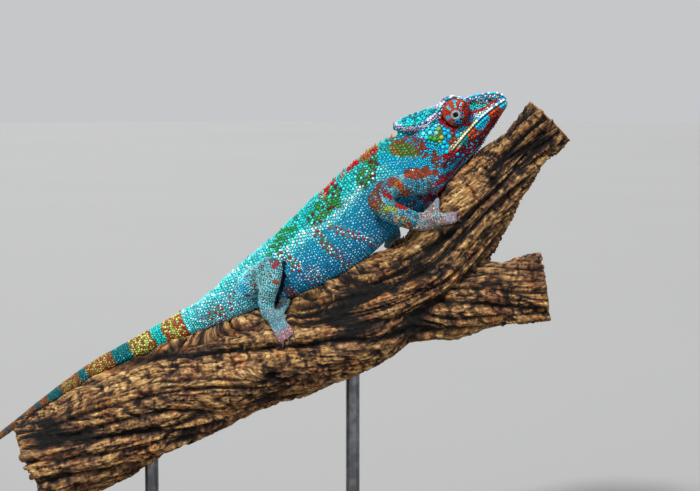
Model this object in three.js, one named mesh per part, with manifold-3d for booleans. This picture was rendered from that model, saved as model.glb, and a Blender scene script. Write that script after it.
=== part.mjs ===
// A life-size male panther chameleon climbing a cut length of forked branch, on a plain display stand.
// Millimetres, +Z up, the head towards +X. The origin is the middle of the base's underside.
import * as THREE from "three";
import { mergeVertices } from "three/addons/utils/BufferGeometryUtils.js";
import Module from "manifold-3d";

const wasm = await Module();
wasm.setup();

const GAP = 0.3; // clear space between neighbouring pieces
const DEG = Math.PI / 180;

// ---------------------------------------------------------------- driving sizes
const BASE = { length: 230, width: 150, thickness: 16, corner: 22, bevel: 2 };
const ROD = { radius: 4, flange: 13, flangeHeight: 3, sunk: 13, stations: [-70, 48] };

const SNOUT = [134.9, 287.4]; // lip tip, x and z
const HEAD_PITCH = 33 * DEG; // the head's axis above the horizon
// The mouth line, from ahead of the lips to its corner: back along the head's axis, and up from it.
const MOUTH = [[-8.0, 0.7], [0.0, 0.9], [8.6, 0.9], [17.6, 0.0], [28.3, -2.2], [36.6, -4.3], [40.8, -5.4]];
const EYE = { back: 26.7, up: 11.2, out: 12.6, radius: 8.3, aperture: 1.9 };

// Trunk sections from the nape to the tail's root: back x, back z, belly x, belly z, half width.
const TRUNK = [
  [84.5, 272.5, 109.5, 246.0, 11.6],
  [78.5, 271.5, 105.5, 241.5, 12.0],
  [67.5, 267.0, 96.5, 234.0, 12.6],
  [58.0, 261.0, 86.0, 225.5, 13.4],
  [47.5, 253.0, 77.0, 216.5, 14.4],
  [35.0, 242.0, 66.0, 206.0, 15.4],
  [23.0, 231.0, 54.5, 195.5, 16.2],
  [11.5, 220.0, 40.5, 186.5, 16.2],
  [0.0, 209.5, 26.5, 179.0, 15.0],
  [-11.5, 200.0, 11.5, 175.0, 13.2],
  [-21.5, 191.5, -2.5, 170.0, 11.6],
  [-29.0, 184.0, -13.5, 165.0, 10.2],
  [-36.5, 177.0, -23.5, 160.5, 9.0],
  [-45.5, 170.5, -36.5, 156.0, 7.6],
];
const WIDEST = 0.43; // share of a section's height, from the belly, at which it is widest

// The tail's middle line after that: x, y, z and height.
const TAIL = [
  [-36.5, 0.0, 165.4, 16.2],
  [-45.0, 0.1, 161.6, 16.2],
  [-54.5, 0.4, 156.9, 15.0],
  [-66.5, 1.0, 151.2, 13.2],
  [-81.5, 1.8, 143.6, 11.6],
  [-97.5, 2.4, 135.6, 10.4],
  [-112.0, 2.6, 126.8, 9.0],
  [-125.2, 2.4, 117.8, 7.8],
  [-138.0, 1.8, 108.6, 6.6],
  [-150.0, 1.0, 99.6, 5.6],
];
// The tail's free end winds up like a watch spring.
const CURL = { length: 112, tightest: 4.3, bend: 2.4, steps: 24, tip: 1.6 };

// The branch's middle line: x, z and radius. The second list is the side limb, cut short.
const PERCH = [
  [-136.0, 75.5, 28.0],
  [-109.0, 90.0, 28.4],
  [-68.5, 112.0, 28.2],
  [-28.0, 129.8, 27.8],
  [3.5, 141.0, 26.6],
  [29.6, 151.0, 28.5],
  [58.6, 165.0, 27.6],
  [90.0, 188.0, 23.4],
  [111.7, 218.5, 19.5],
  [122.3, 232.2, 18.0],
  [132.9, 244.9, 16.4],
  [143.5, 257.0, 15.0],
  [152.2, 266.3, 14.8],
  [162.6, 276.8, 15.2],
];
const SIDE_LIMB = [
  [62.0, 168.0, 18.0],
  [82.0, 170.0, 21.0],
  [104.5, 172.5, 21.4],
  [121.8, 175.8, 20.0],
  [139.2, 177.6, 18.6],
  [159.5, 180.4, 17.4],
];

// Each leg: points along it (x, y, z) and how thick it is there. The right side is -y.
const FRONT_RIGHT = {
  upper: [
    [95.5, -6.5, 243.5, 8.2], [84.0, -15.5, 242.4, 7.2],
    [71.5, -21.0, 240.4, 6.6], [62.0, -23.5, 237.2, 6.0],
  ],
  lower: [
    [60.4, -23.5, 233.2, 6.0], [66.0, -23.8, 228.4, 6.4],
    [74.0, -23.4, 224.8, 6.4], [82.5, -21.4, 221.2, 5.9],
  ],
};
const FRONT_LEFT = {
  upper: [
    [94.0, 6.5, 241.0, 8.2], [84.5, 15.5, 237.5, 7.2],
    [73.5, 21.0, 233.5, 6.6], [65.0, 23.8, 230.0, 6.0],
  ],
  lower: [
    [64.2, 23.8, 227.5, 5.9], [65.8, 23.6, 221.5, 5.9],
    [69.0, 21.8, 215.5, 5.4], [72.5, 18.6, 210.5, 4.8],
  ],
};
const HIND_RIGHT = {
  upper: [
    [-13.5, -4.5, 180.0, 8.6], [-8.5, -12.0, 186.0, 7.8],
    [-2.6, -18.0, 192.0, 6.8], [2.6, -21.5, 197.4, 5.4],
  ],
  lower: [
    [3.4, -22.5, 196.4, 5.3], [1.4, -23.4, 188.0, 6.2],
    [-1.0, -22.4, 179.0, 5.4], [-1.6, -20.4, 171.8, 4.8],
  ],
};
const HIND_LEFT = {
  upper: [
    [-15.5, 4.5, 178.0, 8.6], [-11.5, 12.0, 182.5, 7.8],
    [-7.0, 18.0, 187.5, 6.8], [-3.5, 21.5, 191.5, 5.4],
  ],
  lower: [
    [-3.0, 22.5, 190.5, 5.3], [-6.4, 23.4, 183.5, 6.2],
    [-10.8, 22.4, 175.6, 5.4], [-13.4, 20.0, 168.6, 4.8],
  ],
};
// Feet stand on the branch over its line at x, turned round it from its top by some degrees. Each has a
// palm of some radius and two bundles of toes, which reach along the branch and, in degrees, round it.
const FEET = {
  front_right: { side: -1, x: 107.1, turn: 46, palm: 5.7, outer: [2, 9, 25], inner: [3, 7.5, -27] },
  front_left: { side: 1, x: 87.0, turn: 36, palm: 4.8, outer: [2, 9, 29], inner: [3, 9, -18] },
  hind_right: { side: -1, x: 11.5, turn: 44, palm: 4.7, outer: [3, 3, 25], inner: [2, 9, -28] },
  hind_left: { side: 1, x: 0.5, turn: 44, palm: 4.7, outer: [3, 4, 25], inner: [2, 9, -28] },
};
const TOE = { root: 2.5, tip: 2.0, apart: 3.7, clear: 0.4, sole: 4.6 };
const CLAW = { length: 3.6, hook: 0.9, root: 1.0, tip: 0.3 };
const ARC = 0.42; // millimetres round the branch for one degree's turn

// ---------------------------------------------------------------- materials
const paint = (color, roughness, metalness = 0) =>
  new THREE.MeshStandardMaterial({ color, roughness, metalness });
const LOOKS = {
  skin: paint(0x1fa6bd, 0.5),
  limb: paint(0x6d9c9b, 0.55),
  turret: paint(0xc8452a, 0.45),
  eye: paint(0x120c0a, 0.1),
  claw: paint(0x8b7866, 0.4),
  bark: paint(0xa98245, 0.85),
  steel: paint(0x3b3d40, 0.4, 0.9),
  base: paint(0x2c2a29, 0.5),
};

// ---------------------------------------------------------------- solids
const vec = (x, y, z) => new THREE.Vector3(x, y, z);

// A closed three.js geometry as a manifold solid, turned to face out.
function solidOf(geometry) {
  const bare = new THREE.BufferGeometry().setAttribute("position", geometry.getAttribute("position"));
  if (geometry.index) bare.setIndex(geometry.index);
  const merged = mergeVertices(bare, 1e-4);
  const index = new Uint32Array(merged.index.array);
  const at = (i) => vec().fromBufferAttribute(merged.getAttribute("position"), i);
  let volume = 0;
  for (let i = 0; i < index.length; i += 3)
    volume += at(index[i]).dot(at(index[i + 1]).cross(at(index[i + 2])));
  if (volume < 0)
    for (let i = 0; i < index.length; i += 3) [index[i + 1], index[i + 2]] = [index[i + 2], index[i + 1]];
  const vertProperties = new Float32Array(merged.getAttribute("position").array);
  return new wasm.Manifold(new wasm.Mesh({ numProp: 3, vertProperties, triVerts: index }));
}

// The largest body of a solid: cutting can leave slivers.
function largest(solid) {
  return solid.decompose().reduce((best, body) => (body.volume() > best.volume() ? body : best));
}

function without(solid, ...others) {
  return others.reduce((left, other) => left.subtract(other), solid);
}

function union(solids) {
  return solids.reduce((all, solid) => all.add(solid));
}

// A smooth value through a list of numbers, at t from 0 to 1 along it.
function through(values, t) {
  const x = Math.min(Math.max(t, 0), 1) * (values.length - 1);
  const i = Math.min(Math.floor(x), values.length - 2);
  const f = x - i;
  const at = (k) => values[Math.min(Math.max(k, 0), values.length - 1)];
  const [a, b, c, d] = [at(i - 1), at(i), at(i + 1), at(i + 2)];
  return b + 0.5 * f * (c - a + f * (2 * a - 5 * b + 4 * c - d + f * (3 * (b - c) + d - a)));
}

// Lofts sections along a body. sectionAt(t) gives centre, up, side, high, low, wide and the roundness of its
// two halves. The skin is a unit cylinder whose rings are moved to the sections between t0 and t1.
function loft(sectionAt, { sides, rings, t0 = 0, t1 = 1, grow = 0 }) {
  const geometry = new THREE.CylinderGeometry(1, 1, 1, sides, rings);
  const position = geometry.getAttribute("position");
  for (let i = 0; i < position.count; i++) {
    const [x, y, z] = [position.getX(i), position.getY(i), position.getZ(i)];
    const s = sectionAt(t0 + (0.5 - y) * (t1 - t0));
    const radial = Math.hypot(x, z) < 0.5 ? 0 : 1;
    const angle = Math.atan2(x, z);
    const half = Math.cos(angle) > 0 ? s.high : s.low;
    const power = 2 / (Math.cos(angle) > 0 ? s.roundTop ?? 2 : s.roundBottom ?? 2);
    const bend = (v, p) => Math.sign(v) * Math.abs(v) ** p;
    const wave = s.wave ? s.wave(angle) : 1;
    const lift = radial * (half * wave + grow) * bend(Math.cos(angle), power);
    const spread = radial * (s.wide * wave + grow) * bend(Math.sin(angle), power);
    const end = Math.abs(y) > 0.4999 ? Math.sign(-y) * grow : 0;
    const p = s.centre.clone().addScaledVector(s.up, lift).addScaledVector(s.side, spread);
    if (end) p.addScaledVector(vec().crossVectors(s.side, s.up).multiplyScalar(s.turned ?? 1), end);
    position.setXYZ(i, p.x, p.y, p.z);
  }
  return solidOf(geometry);
}

// A round limb through [x, y, z, radius] rows, with domed ends.
function limb(rows, { sides = 8, rings = 7, grow = 0 } = {}) {
  const curve = new THREE.CatmullRomCurve3(rows.map((r) => vec(r[0], r[1], r[2])), false, "centripetal");
  const radii = rows.map((r) => r[3]);
  const geometry = new THREE.SphereGeometry(1, sides, rings);
  const position = geometry.getAttribute("position");
  const long = curve.getLength();
  const [first, last] = [radii[0], radii[radii.length - 1]];
  const reach = long + first + last; // the domes stand past both ends
  const tangentStart = curve.getTangent(0);
  const helper = Math.abs(tangentStart.y) < 0.8 ? vec(0, 1, 0) : vec(0, 0, 1);
  for (let i = 0; i < position.count; i++) {
    const polar = Math.acos(THREE.MathUtils.clamp(position.getY(i), -1, 1));
    const around = Math.atan2(position.getZ(i), position.getX(i));
    const along = (polar / Math.PI) * reach - first;
    const t = THREE.MathUtils.clamp(along / long, 0, 1);
    const u = curve.getUtoTmapping(t);
    const centre = curve.getPoint(u);
    const tangent = curve.getTangent(u);
    const side = vec().crossVectors(tangent, helper).normalize();
    const up = vec().crossVectors(side, tangent);
    const radius = through(radii, u);
    let ring = radius;
    let past = 0;
    if (along < 0) [past, ring] = [along, Math.sqrt(Math.max(first ** 2 - along ** 2, 0))];
    if (along > long) [past, ring] = [along - long, Math.sqrt(Math.max(last ** 2 - (along - long) ** 2, 0))];
    if (polar < 1e-6 || polar > Math.PI - 1e-6) ring = -grow;
    ring = Math.max(ring + grow, 0);
    past += Math.sign(past) * grow;
    const p = centre
      .addScaledVector(tangent, past)
      .addScaledVector(side, ring * Math.cos(around))
      .addScaledVector(up, ring * Math.sin(around));
    position.setXYZ(i, p.x, p.y, p.z);
  }
  return solidOf(geometry);
}

// ---------------------------------------------------------------- branch
const perchLine = new THREE.CatmullRomCurve3(PERCH.map((r) => vec(r[0], 0, r[1])), false, "centripetal");
const perchLength = perchLine.getLength();

// How the bark swells and dips round the branch: little on top, where the animal lies.
function barkWave(s, angle) {
  const away = 0.25 + 0.75 * (1 - Math.cos(angle)) * 0.5;
  const lobes = 0.05 * Math.cos(2 * angle + s * 0.021) + 0.035 * Math.cos(3 * angle - s * 0.034 + 1);
  return 1 + away * (lobes + 0.025 * Math.cos(5 * angle + s * 0.05 + 2));
}

function branchSection(line, radii, t) {
  const centre = line.getPointAt(t);
  const tangent = line.getTangentAt(t);
  const side = vec(0, -1, 0);
  const up = vec(-tangent.z, 0, tangent.x);
  const radius = through(radii, line.getUtoTmapping(t));
  const s = t * perchLength;
  const wave = (a) => barkWave(s, a);
  return { centre, up, side, high: radius, low: radius, wide: radius, wave, turned: -1 };
}

function perchSolid(grow = 0) {
  const radii = PERCH.map((r) => r[2]);
  const main = loft((t) => branchSection(perchLine, radii, t), { sides: 16, rings: 18, grow });
  const sidePoints = SIDE_LIMB.map((r) => vec(r[0], 0, r[1]));
  const sideLine = new THREE.CatmullRomCurve3(sidePoints, false, "centripetal");
  const sideRadii = SIDE_LIMB.map((r) => r[2]);
  return main.add(loft((t) => branchSection(sideLine, sideRadii, t), { sides: 12, rings: 5, grow }));
}

// How far along the branch's line its x is reached.
function stationAt(x) {
  let s = 0;
  while (perchLine.getPointAt(s / perchLength).x < x) s += 0.5;
  return s;
}

// A point on the branch: s along it, turn degrees round from its top, at a height above the bark.
function onBranch(s, turn, height, side) {
  const t = THREE.MathUtils.clamp(s / perchLength, 0, 1);
  const angle = -side * turn * DEG;
  const section = branchSection(perchLine, PERCH.map((r) => r[2]), t);
  const radius = section.high * section.wave(angle) + height;
  return section.centre
    .addScaledVector(section.up, radius * Math.cos(angle))
    .addScaledVector(section.side, radius * Math.sin(angle));
}

// ---------------------------------------------------------------- trunk and tail
function trunkSection(t) {
  const row = [0, 1, 2, 3, 4].map((k) => through(TRUNK.map((r) => r[k]), t));
  const [back, belly] = [vec(row[0], 0, row[1]), vec(row[2], 0, row[3])];
  const up = back.clone().sub(belly);
  const height = up.length();
  up.normalize();
  const centre = belly.clone().addScaledVector(up, height * WIDEST);
  const [high, low] = [height * (1 - WIDEST), height * WIDEST];
  const ridge = 1.62 + 0.38 * THREE.MathUtils.smoothstep(t, 0.6, 1);
  const side = vec(0, -1, 0);
  return { centre, up, side, high, low, wide: row[4], roundTop: ridge, roundBottom: 2.1, turned: 1 };
}

// The tail's stations: the typed rows, then the free end, which turns by a little more at each step.
function tailRows() {
  const rows = TAIL.map((r) => [...r]);
  const [before, end] = rows.slice(-2);
  let heading = Math.atan2(end[2] - before[2], end[0] - before[0]);
  let [x, z] = [end[0], end[2]];
  const step = CURL.length / CURL.steps;
  for (let i = 1; i <= CURL.steps; i++) {
    const share = i / CURL.steps;
    heading += (step / CURL.tightest) * share ** CURL.bend;
    x += step * Math.cos(heading);
    z += step * Math.sin(heading);
    rows.push([x, end[1] * (1 - share), z, end[3] + (CURL.tip - end[3]) * share ** 0.8]);
  }
  return rows;
}
const tailStations = tailRows();
const tailPoints = tailStations.map((r) => vec(r[0], r[1], r[2]));
const tailLine = new THREE.CatmullRomCurve3(tailPoints, false, "centripetal");
const tailLength = tailLine.getLength();

function tailSection(t) {
  const u = tailLine.getUtoTmapping(t);
  const height = through(tailStations.map((r) => r[3]), u);
  const tangent = tailLine.getTangent(u);
  const side = vec(0, -1, 0);
  const up = vec().crossVectors(side, tangent).normalize();
  const wide = (height / 2) * (0.88 + 0.1 * t);
  return { centre: tailLine.getPoint(u), up, side, high: height / 2, low: height / 2, wide, turned: 1 };
}

// Lengths of the body, parted by thin cuts.
const CUTS = { neck: [0, 0.23], trunk: [0.23, 1] };
const TAIL_CUTS = [0, 0.2, 0.42, 0.67, 1];
const TRUNK_LENGTH = 195; // along the middle, to set the width of the cuts

function bodyLength(name, grow = 0) {
  const [from, to] = CUTS[name];
  const [t0, t1] = [from && from + GAP / 2 / TRUNK_LENGTH, to === 1 ? 1 : to - GAP / 2 / TRUNK_LENGTH];
  return loft(trunkSection, { sides: 16, rings: name === "trunk" ? 15 : 4, t0, t1, grow });
}

function tailPiece(i, grow = 0) {
  const half = GAP / 2 / tailLength;
  const [t0, t1] = [TAIL_CUTS[i] + (i ? half : 0), TAIL_CUTS[i + 1] - (i === 3 ? 0 : half)];
  return loft(tailSection, { sides: [12, 10, 8, 6][i], rings: [4, 6, 8, 18][i], t0, t1, grow });
}

// ---------------------------------------------------------------- head
// A point of the head: back from the lip tip along the head's axis, out to the side, and up from the axis.
function headPoint(back, out, up) {
  const [c, s] = [Math.cos(HEAD_PITCH), Math.sin(HEAD_PITCH)];
  return vec(SNOUT[0] - c * back - s * up, out, SNOUT[1] - s * back + c * up);
}
const headUp = headPoint(0, 0, 1).sub(headPoint(0, 0, 0));

// A loft of the head: rows of back, top, bottom, half width and where it is widest (share of height).
function headLoft(rows, { sides, rings, grow = 0, roundTop = 2, roundBottom = 2 }) {
  return loft((t) => {
    const [back, top, bottom, wide, widest] = [0, 1, 2, 3, 4].map((k) => through(rows.map((r) => r[k]), t));
    const level = bottom + (top - bottom) * widest;
    const centre = headPoint(back, 0, level);
    const section = { centre, up: headUp, side: vec(0, -1, 0), high: top - level, low: level - bottom };
    return { ...section, wide, roundTop, roundBottom, turned: 1 };
  }, { sides, rings, grow });
}

// Skull with the jaws and throat, as one form: back, top, bottom, half width and where it is widest.
// The casque and the crests stand on it.
const SKULL = [
  [-2.4, 3.8, -0.4, 2.8, 0.5],
  [-1.2, 5.2, -2.6, 4.4, 0.5],
  [1.9, 6.8, -3.9, 6.0, 0.5],
  [6.5, 8.0, -6.0, 7.4, 0.48],
  [12.1, 10.6, -8.5, 8.9, 0.46],
  [18.1, 13.0, -10.8, 10.2, 0.45],
  [24.0, 15.6, -14.0, 11.8, 0.46],
  [30.3, 17.4, -16.4, 13.6, 0.47],
  [37.2, 18.8, -18.6, 15.2, 0.48],
  [44.0, 18.6, -20.8, 15.8, 0.5],
  [50.0, 16.6, -22.6, 14.6, 0.5],
  [55.0, 14.5, -23.4, 12.8, 0.5],
];
const CASQUE = [
  [20.0, 13.4, 5.0, 7.0, 0.4],
  [25.6, 16.8, 6.0, 9.6, 0.6],
  [31.0, 19.8, 8.0, 11.6, 0.5],
  [36.4, 21.3, 8.6, 12.6, 0.42],
  [42.5, 22.6, 10.0, 12.6, 0.36],
  [48.5, 24.0, 12.6, 11.0, 0.34],
  [54.5, 25.2, 17.0, 7.6, 0.4],
  [60.6, 24.2, 21.2, 2.4, 0.5],
];
// The crest on each side: from the snout's horn over the eye to the casque's tip. back, out, up, radius.
const CREST = [
  [-2.0, 4.2, 4.4, 1.2],
  [0.5, 5.4, 6.6, 1.5],
  [4.5, 6.4, 9.0, 1.6],
  [8.7, 7.0, 11.0, 1.6],
  [13.3, 7.8, 12.6, 1.5],
  [18.5, 9.0, 14.4, 1.5],
  [23.6, 10.4, 17.4, 1.5],
  [27.7, 11.2, 18.8, 1.5],
  [32.0, 11.6, 18.0, 1.5],
  [37.0, 12.3, 15.9, 1.5],
  [44.0, 12.0, 15.2, 1.5],
  [50.0, 10.0, 17.3, 1.4],
  [56.0, 6.4, 20.6, 1.3],
  [60.0, 2.2, 23.0, 1.2],
];

function headSolid(grow = 0) {
  const skull = headLoft(SKULL, { sides: 14, rings: 12, grow, roundTop: 2.3, roundBottom: 1.8 });
  const casque = headLoft(CASQUE, { sides: 10, rings: 7, grow, roundTop: 1.25, roundBottom: 2 });
  const crests = [-1, 1].map((side) => {
    const rows = CREST.map(([back, out, up, r]) => [...headPoint(back, side * out, up).toArray(), r]);
    return limb(rows, { sides: 5, rings: 14, grow });
  });
  return union([skull, casque, ...crests]);
}

function eyeCentre(side) {
  return headPoint(EYE.back, side * EYE.out, EYE.up);
}

// The eye looks out and a little back.
function eyeAxis(side) {
  return headPoint(0.2, side, 0.03).sub(headPoint(0, 0, 0)).normalize();
}

// The turret of skin over an eye, open at its aperture: a lathe profile that looks along the eye's axis.
function turretSolid(side, grow = 0) {
  const profile = [[0, -5]];
  const r = EYE.radius + grow;
  for (let angle = -30; angle <= 76; angle += 13.25)
    profile.push([r * Math.cos(angle * DEG), r * Math.sin(angle * DEG) * 0.98]);
  profile[0][1] = profile[1][1];
  if (grow) profile.push([0, r * 0.98]);
  else profile.push([EYE.aperture, EYE.radius * 0.95], [EYE.aperture, 4.2], [0, 4.2]);
  const geometry = new THREE.LatheGeometry(profile.map(([x, y]) => new THREE.Vector2(x, y)), 13);
  return placeOnEye(geometry, side);
}

function placeOnEye(geometry, side) {
  geometry.applyQuaternion(new THREE.Quaternion().setFromUnitVectors(vec(0, 1, 0), eyeAxis(side)));
  const c = eyeCentre(side);
  return solidOf(geometry.translate(c.x, c.y, c.z));
}

// The eyeball's cap, seen in the aperture.
function eyeballSolid(side) {
  const r = EYE.aperture - GAP;
  const profile = [[0, 4.2 + GAP], [r, 4.2 + GAP], [r, 6.4], [r * 0.75, 7.1], [r * 0.4, 7.45], [0, 7.55]];
  const geometry = new THREE.LatheGeometry(profile.map(([x, y]) => new THREE.Vector2(x, y)), 8);
  return placeOnEye(geometry, side);
}

// The space that the lower jaw is cut from: below the mouth line and ahead of the throat.
function jawSpace(grow = 0) {
  const shape = new THREE.Shape(MOUTH.map(([back, up]) => new THREE.Vector2(back, up + grow)));
  const corner = MOUTH[MOUTH.length - 1];
  shape.lineTo(corner[0] + grow, corner[1] + grow);
  shape.lineTo(corner[0] + grow + 5, -40);
  shape.lineTo(MOUTH[0][0], -40);
  const geometry = new THREE.ExtrudeGeometry(shape, { depth: 60, bevelEnabled: false });
  const [back, up] = [headPoint(1, 0, 0).sub(headPoint(0, 0, 0)), headUp];
  geometry.translate(0, 0, -30).applyMatrix4(new THREE.Matrix4().makeBasis(back, up, vec(0, 1, 0)));
  return solidOf(geometry.translate(SNOUT[0], 0, SNOUT[1]));
}

// ---------------------------------------------------------------- legs and feet
// One toe's line over the bark, from the palm to its tip. Toes of a bundle lie side by side.
function toePath(foot, along, round, across) {
  const heading = new THREE.Vector2(along, round * ARC).normalize();
  const s = stationAt(foot.x);
  return [0, 0.42, 0.75, 1].map((f) => {
    const fan = across * (0.55 + 0.45 * f);
    const lowered = THREE.MathUtils.smoothstep(f, 0, 0.75);
    const height = THREE.MathUtils.lerp(TOE.sole, TOE.tip + TOE.clear, lowered);
    const turn = foot.turn + round * f + (heading.x * fan) / ARC;
    return onBranch(s + along * f - heading.y * fan, turn, height, foot.side);
  });
}

function toePaths(foot) {
  return [foot.outer, foot.inner].flatMap(([count, along, round]) =>
    Array.from({ length: count }, (_, i) => toePath(foot, along, round, (i - (count - 1) / 2) * TOE.apart)));
}

function footSolid(foot, ankle, grow = 0) {
  const s = stationAt(foot.x);
  const ball = foot.palm * 0.8;
  const rows = [
    [...ankle.slice(0, 3), ankle[3] - 0.2],
    [...onBranch(s - 1, foot.turn, foot.palm + GAP, foot.side).toArray(), foot.palm],
    [...onBranch(s + 4, foot.turn, ball + GAP, foot.side).toArray(), ball],
  ];
  const radii = [TOE.root, TOE.root, TOE.root * 0.92, TOE.tip];
  const toes = toePaths(foot).map((points) => {
    const stations = points.map((p, k) => [p.x, p.y, p.z, radii[k]]);
    return limb(stations, { sides: 5, rings: 4, grow });
  });
  return union([limb(rows, { sides: 7, rings: 5, grow }), ...toes]);
}

// A claw grows out of its toe's tip and hooks down to the bark.
function clawSolids(foot) {
  const s = stationAt(foot.x);
  const down = onBranch(s, foot.turn, 0, foot.side).sub(onBranch(s, foot.turn, 1, foot.side));
  return toePaths(foot).map((points) => {
    const [before, tip] = points.slice(2);
    const ahead = tip.clone().sub(before).normalize();
    const rows = [0, 0.5, 1].map((f) => {
      const p = tip.clone().addScaledVector(ahead, TOE.tip * 0.3 + CLAW.length * f);
      const radius = THREE.MathUtils.lerp(CLAW.root, CLAW.tip, f);
      return [...p.addScaledVector(down, CLAW.hook * f * f).toArray(), radius];
    });
    return limb(rows, { sides: 4, rings: 4 });
  });
}

// ---------------------------------------------------------------- stand
function rodSolid(x, top) {
  const { radius: r, flange, flangeHeight: h } = ROD;
  const foot = BASE.thickness + GAP;
  const profile = [[0, 0], [flange, 0], [flange, h * 0.5], [flange - 1.2, h], [r + 2, h + 0.6], [r, h + 3]];
  profile.push([r, top - foot - 1], [r - 1, top - foot], [0, top - foot]);
  const geometry = new THREE.LatheGeometry(profile.map(([a, b]) => new THREE.Vector2(a, b)), 12);
  return solidOf(geometry.rotateX(Math.PI / 2).translate(x, 0, foot));
}

function rodBore(x, top) {
  const geometry = new THREE.CylinderGeometry(ROD.radius + GAP, ROD.radius + GAP, 60, 12);
  return solidOf(geometry.rotateX(Math.PI / 2).translate(x, 0, top + GAP - 30));
}

// Where a rod's top lies: sunk into the branch's underside.
function rodTop(x) {
  const section = branchSection(perchLine, PERCH.map((r) => r[2]), stationAt(x) / perchLength);
  return section.centre.z - (section.low * section.wave(Math.PI)) / section.up.z + ROD.sunk;
}

function baseSolid() {
  const { length, width, corner, thickness, bevel } = BASE;
  const [x, y] = [length / 2 - bevel, width / 2 - bevel];
  const shape = new THREE.Shape();
  shape.absarc(x - corner, y - corner, corner, 0, Math.PI / 2);
  shape.absarc(-x + corner, y - corner, corner, Math.PI / 2, Math.PI);
  shape.absarc(-x + corner, -y + corner, corner, Math.PI, 1.5 * Math.PI);
  shape.absarc(x - corner, -y + corner, corner, 1.5 * Math.PI, 2 * Math.PI);
  const edges = { bevelEnabled: true, bevelSize: bevel, bevelThickness: bevel, bevelSegments: 1 };
  const settings = { depth: thickness - 2 * bevel, curveSegments: 3, ...edges };
  const geometry = new THREE.ExtrudeGeometry(shape, settings);
  return solidOf(geometry.translate(0, 0, bevel));
}

// ---------------------------------------------------------------- the model
const group = new THREE.Group();

function add(name, solid, look) {
  const mesh = largest(solid).getMesh();
  const geometry = new THREE.BufferGeometry();
  const positions = new Float32Array(mesh.numVert * 3);
  for (let i = 0; i < mesh.numVert; i++)
    positions.set(mesh.vertProperties.subarray(i * mesh.numProp, i * mesh.numProp + 3), i * 3);
  geometry.setAttribute("position", new THREE.BufferAttribute(positions, 3));
  geometry.setIndex(new THREE.BufferAttribute(new Uint32Array(mesh.triVerts), 1));
  geometry.computeVertexNormals();
  const part = new THREE.Mesh(geometry, LOOKS[look]);
  part.name = name;
  group.add(part);
}

const perchClear = perchSolid(GAP);
const headClear = headSolid(GAP);
const neckClear = bodyLength("neck", GAP);
const trunkClear = bodyLength("trunk", GAP);
const sides = { right: -1, left: 1 };

// stand
const rodTops = ROD.stations.map(rodTop);
add("stand_base", baseSolid(), "base");
ROD.stations.forEach((x, i) => add(`stand_rod_${i + 1}`, rodSolid(x, rodTops[i]), "steel"));
add("perch", without(perchSolid(), ...ROD.stations.map((x, i) => rodBore(x, rodTops[i]))), "bark");

// head
const turretsClear = Object.values(sides).map((side) => turretSolid(side, GAP));
const head = without(headSolid(), ...turretsClear, perchClear);
add("head", without(head, jawSpace(GAP)), "skin");
add("lower_jaw", head.intersect(jawSpace()), "skin");
for (const [name, side] of Object.entries(sides)) {
  add(`eye_turret_${name}`, turretSolid(side), "turret");
  add(`eyeball_${name}`, eyeballSolid(side), "eye");
}

// neck, trunk and tail
add("neck", without(bodyLength("neck"), headClear, perchClear), "skin");
add("trunk", without(bodyLength("trunk"), headClear, perchClear), "skin");
["tail_base", "tail_middle", "tail_end", "tail_tip"].forEach((name, i) => {
  add(name, without(tailPiece(i), perchClear, ...(i ? [] : [trunkClear])), "skin");
});

// legs
const LEGS = {
  front_right: FRONT_RIGHT,
  front_left: FRONT_LEFT,
  hind_right: HIND_RIGHT,
  hind_left: HIND_LEFT,
};
const body = [headClear, neckClear, trunkClear, perchClear];
for (const [name, { upper, lower }] of Object.entries(LEGS)) {
  const foot = FEET[name];
  const ankle = lower[lower.length - 1];
  const [upperName, lowerName] = name.startsWith("front") ? ["upper_arm", "forearm"] : ["thigh", "shin"];
  const [upperClear, lowerClear] = [limb(upper, { grow: GAP }), limb(lower, { grow: GAP })];
  add(`${name}_${upperName}`, without(limb(upper), ...body), "limb");
  add(`${name}_${lowerName}`, without(limb(lower), ...body, upperClear), "limb");
  add(`${name}_foot`, without(footSolid(foot, ankle), ...body, upperClear, lowerClear), "limb");
  const footClear = footSolid(foot, ankle, GAP);
  clawSolids(foot).forEach((claw, i) => {
    add(`${name}_claw_${i + 1}`, without(claw, footClear, ...body), "claw");
  });
}

export default group;
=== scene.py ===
import itertools
import math

import bmesh
import bpy
import numpy as np
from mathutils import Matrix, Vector, kdtree
from mathutils.bvhtree import BVHTree


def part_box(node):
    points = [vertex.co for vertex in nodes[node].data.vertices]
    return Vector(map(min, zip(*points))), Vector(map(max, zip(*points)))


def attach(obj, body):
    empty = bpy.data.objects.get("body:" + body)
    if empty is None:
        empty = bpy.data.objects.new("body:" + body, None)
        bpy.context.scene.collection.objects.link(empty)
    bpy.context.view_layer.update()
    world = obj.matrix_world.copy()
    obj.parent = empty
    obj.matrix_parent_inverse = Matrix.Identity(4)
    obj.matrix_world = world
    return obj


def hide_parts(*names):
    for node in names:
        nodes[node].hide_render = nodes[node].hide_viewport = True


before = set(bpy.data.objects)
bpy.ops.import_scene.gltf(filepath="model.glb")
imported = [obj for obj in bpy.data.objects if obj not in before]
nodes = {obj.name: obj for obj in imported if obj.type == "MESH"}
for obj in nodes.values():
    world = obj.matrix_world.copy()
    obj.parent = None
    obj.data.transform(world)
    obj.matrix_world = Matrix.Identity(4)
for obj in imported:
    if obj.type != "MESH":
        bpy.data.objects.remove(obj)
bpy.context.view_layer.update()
mm = 0.001  # every size below is in millimetres, and meshes are made in metres
chance = np.random.default_rng(11)

# Small tools for points and meshes.


def unit(vectors):
    return vectors / np.maximum(np.linalg.norm(vectors, axis=-1, keepdims=True), 1e-9)


def smoothStep(values, low, high):
    t = np.clip((values - low) / (high - low), 0, 1)
    return t * t * (3 - 2 * t)


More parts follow.
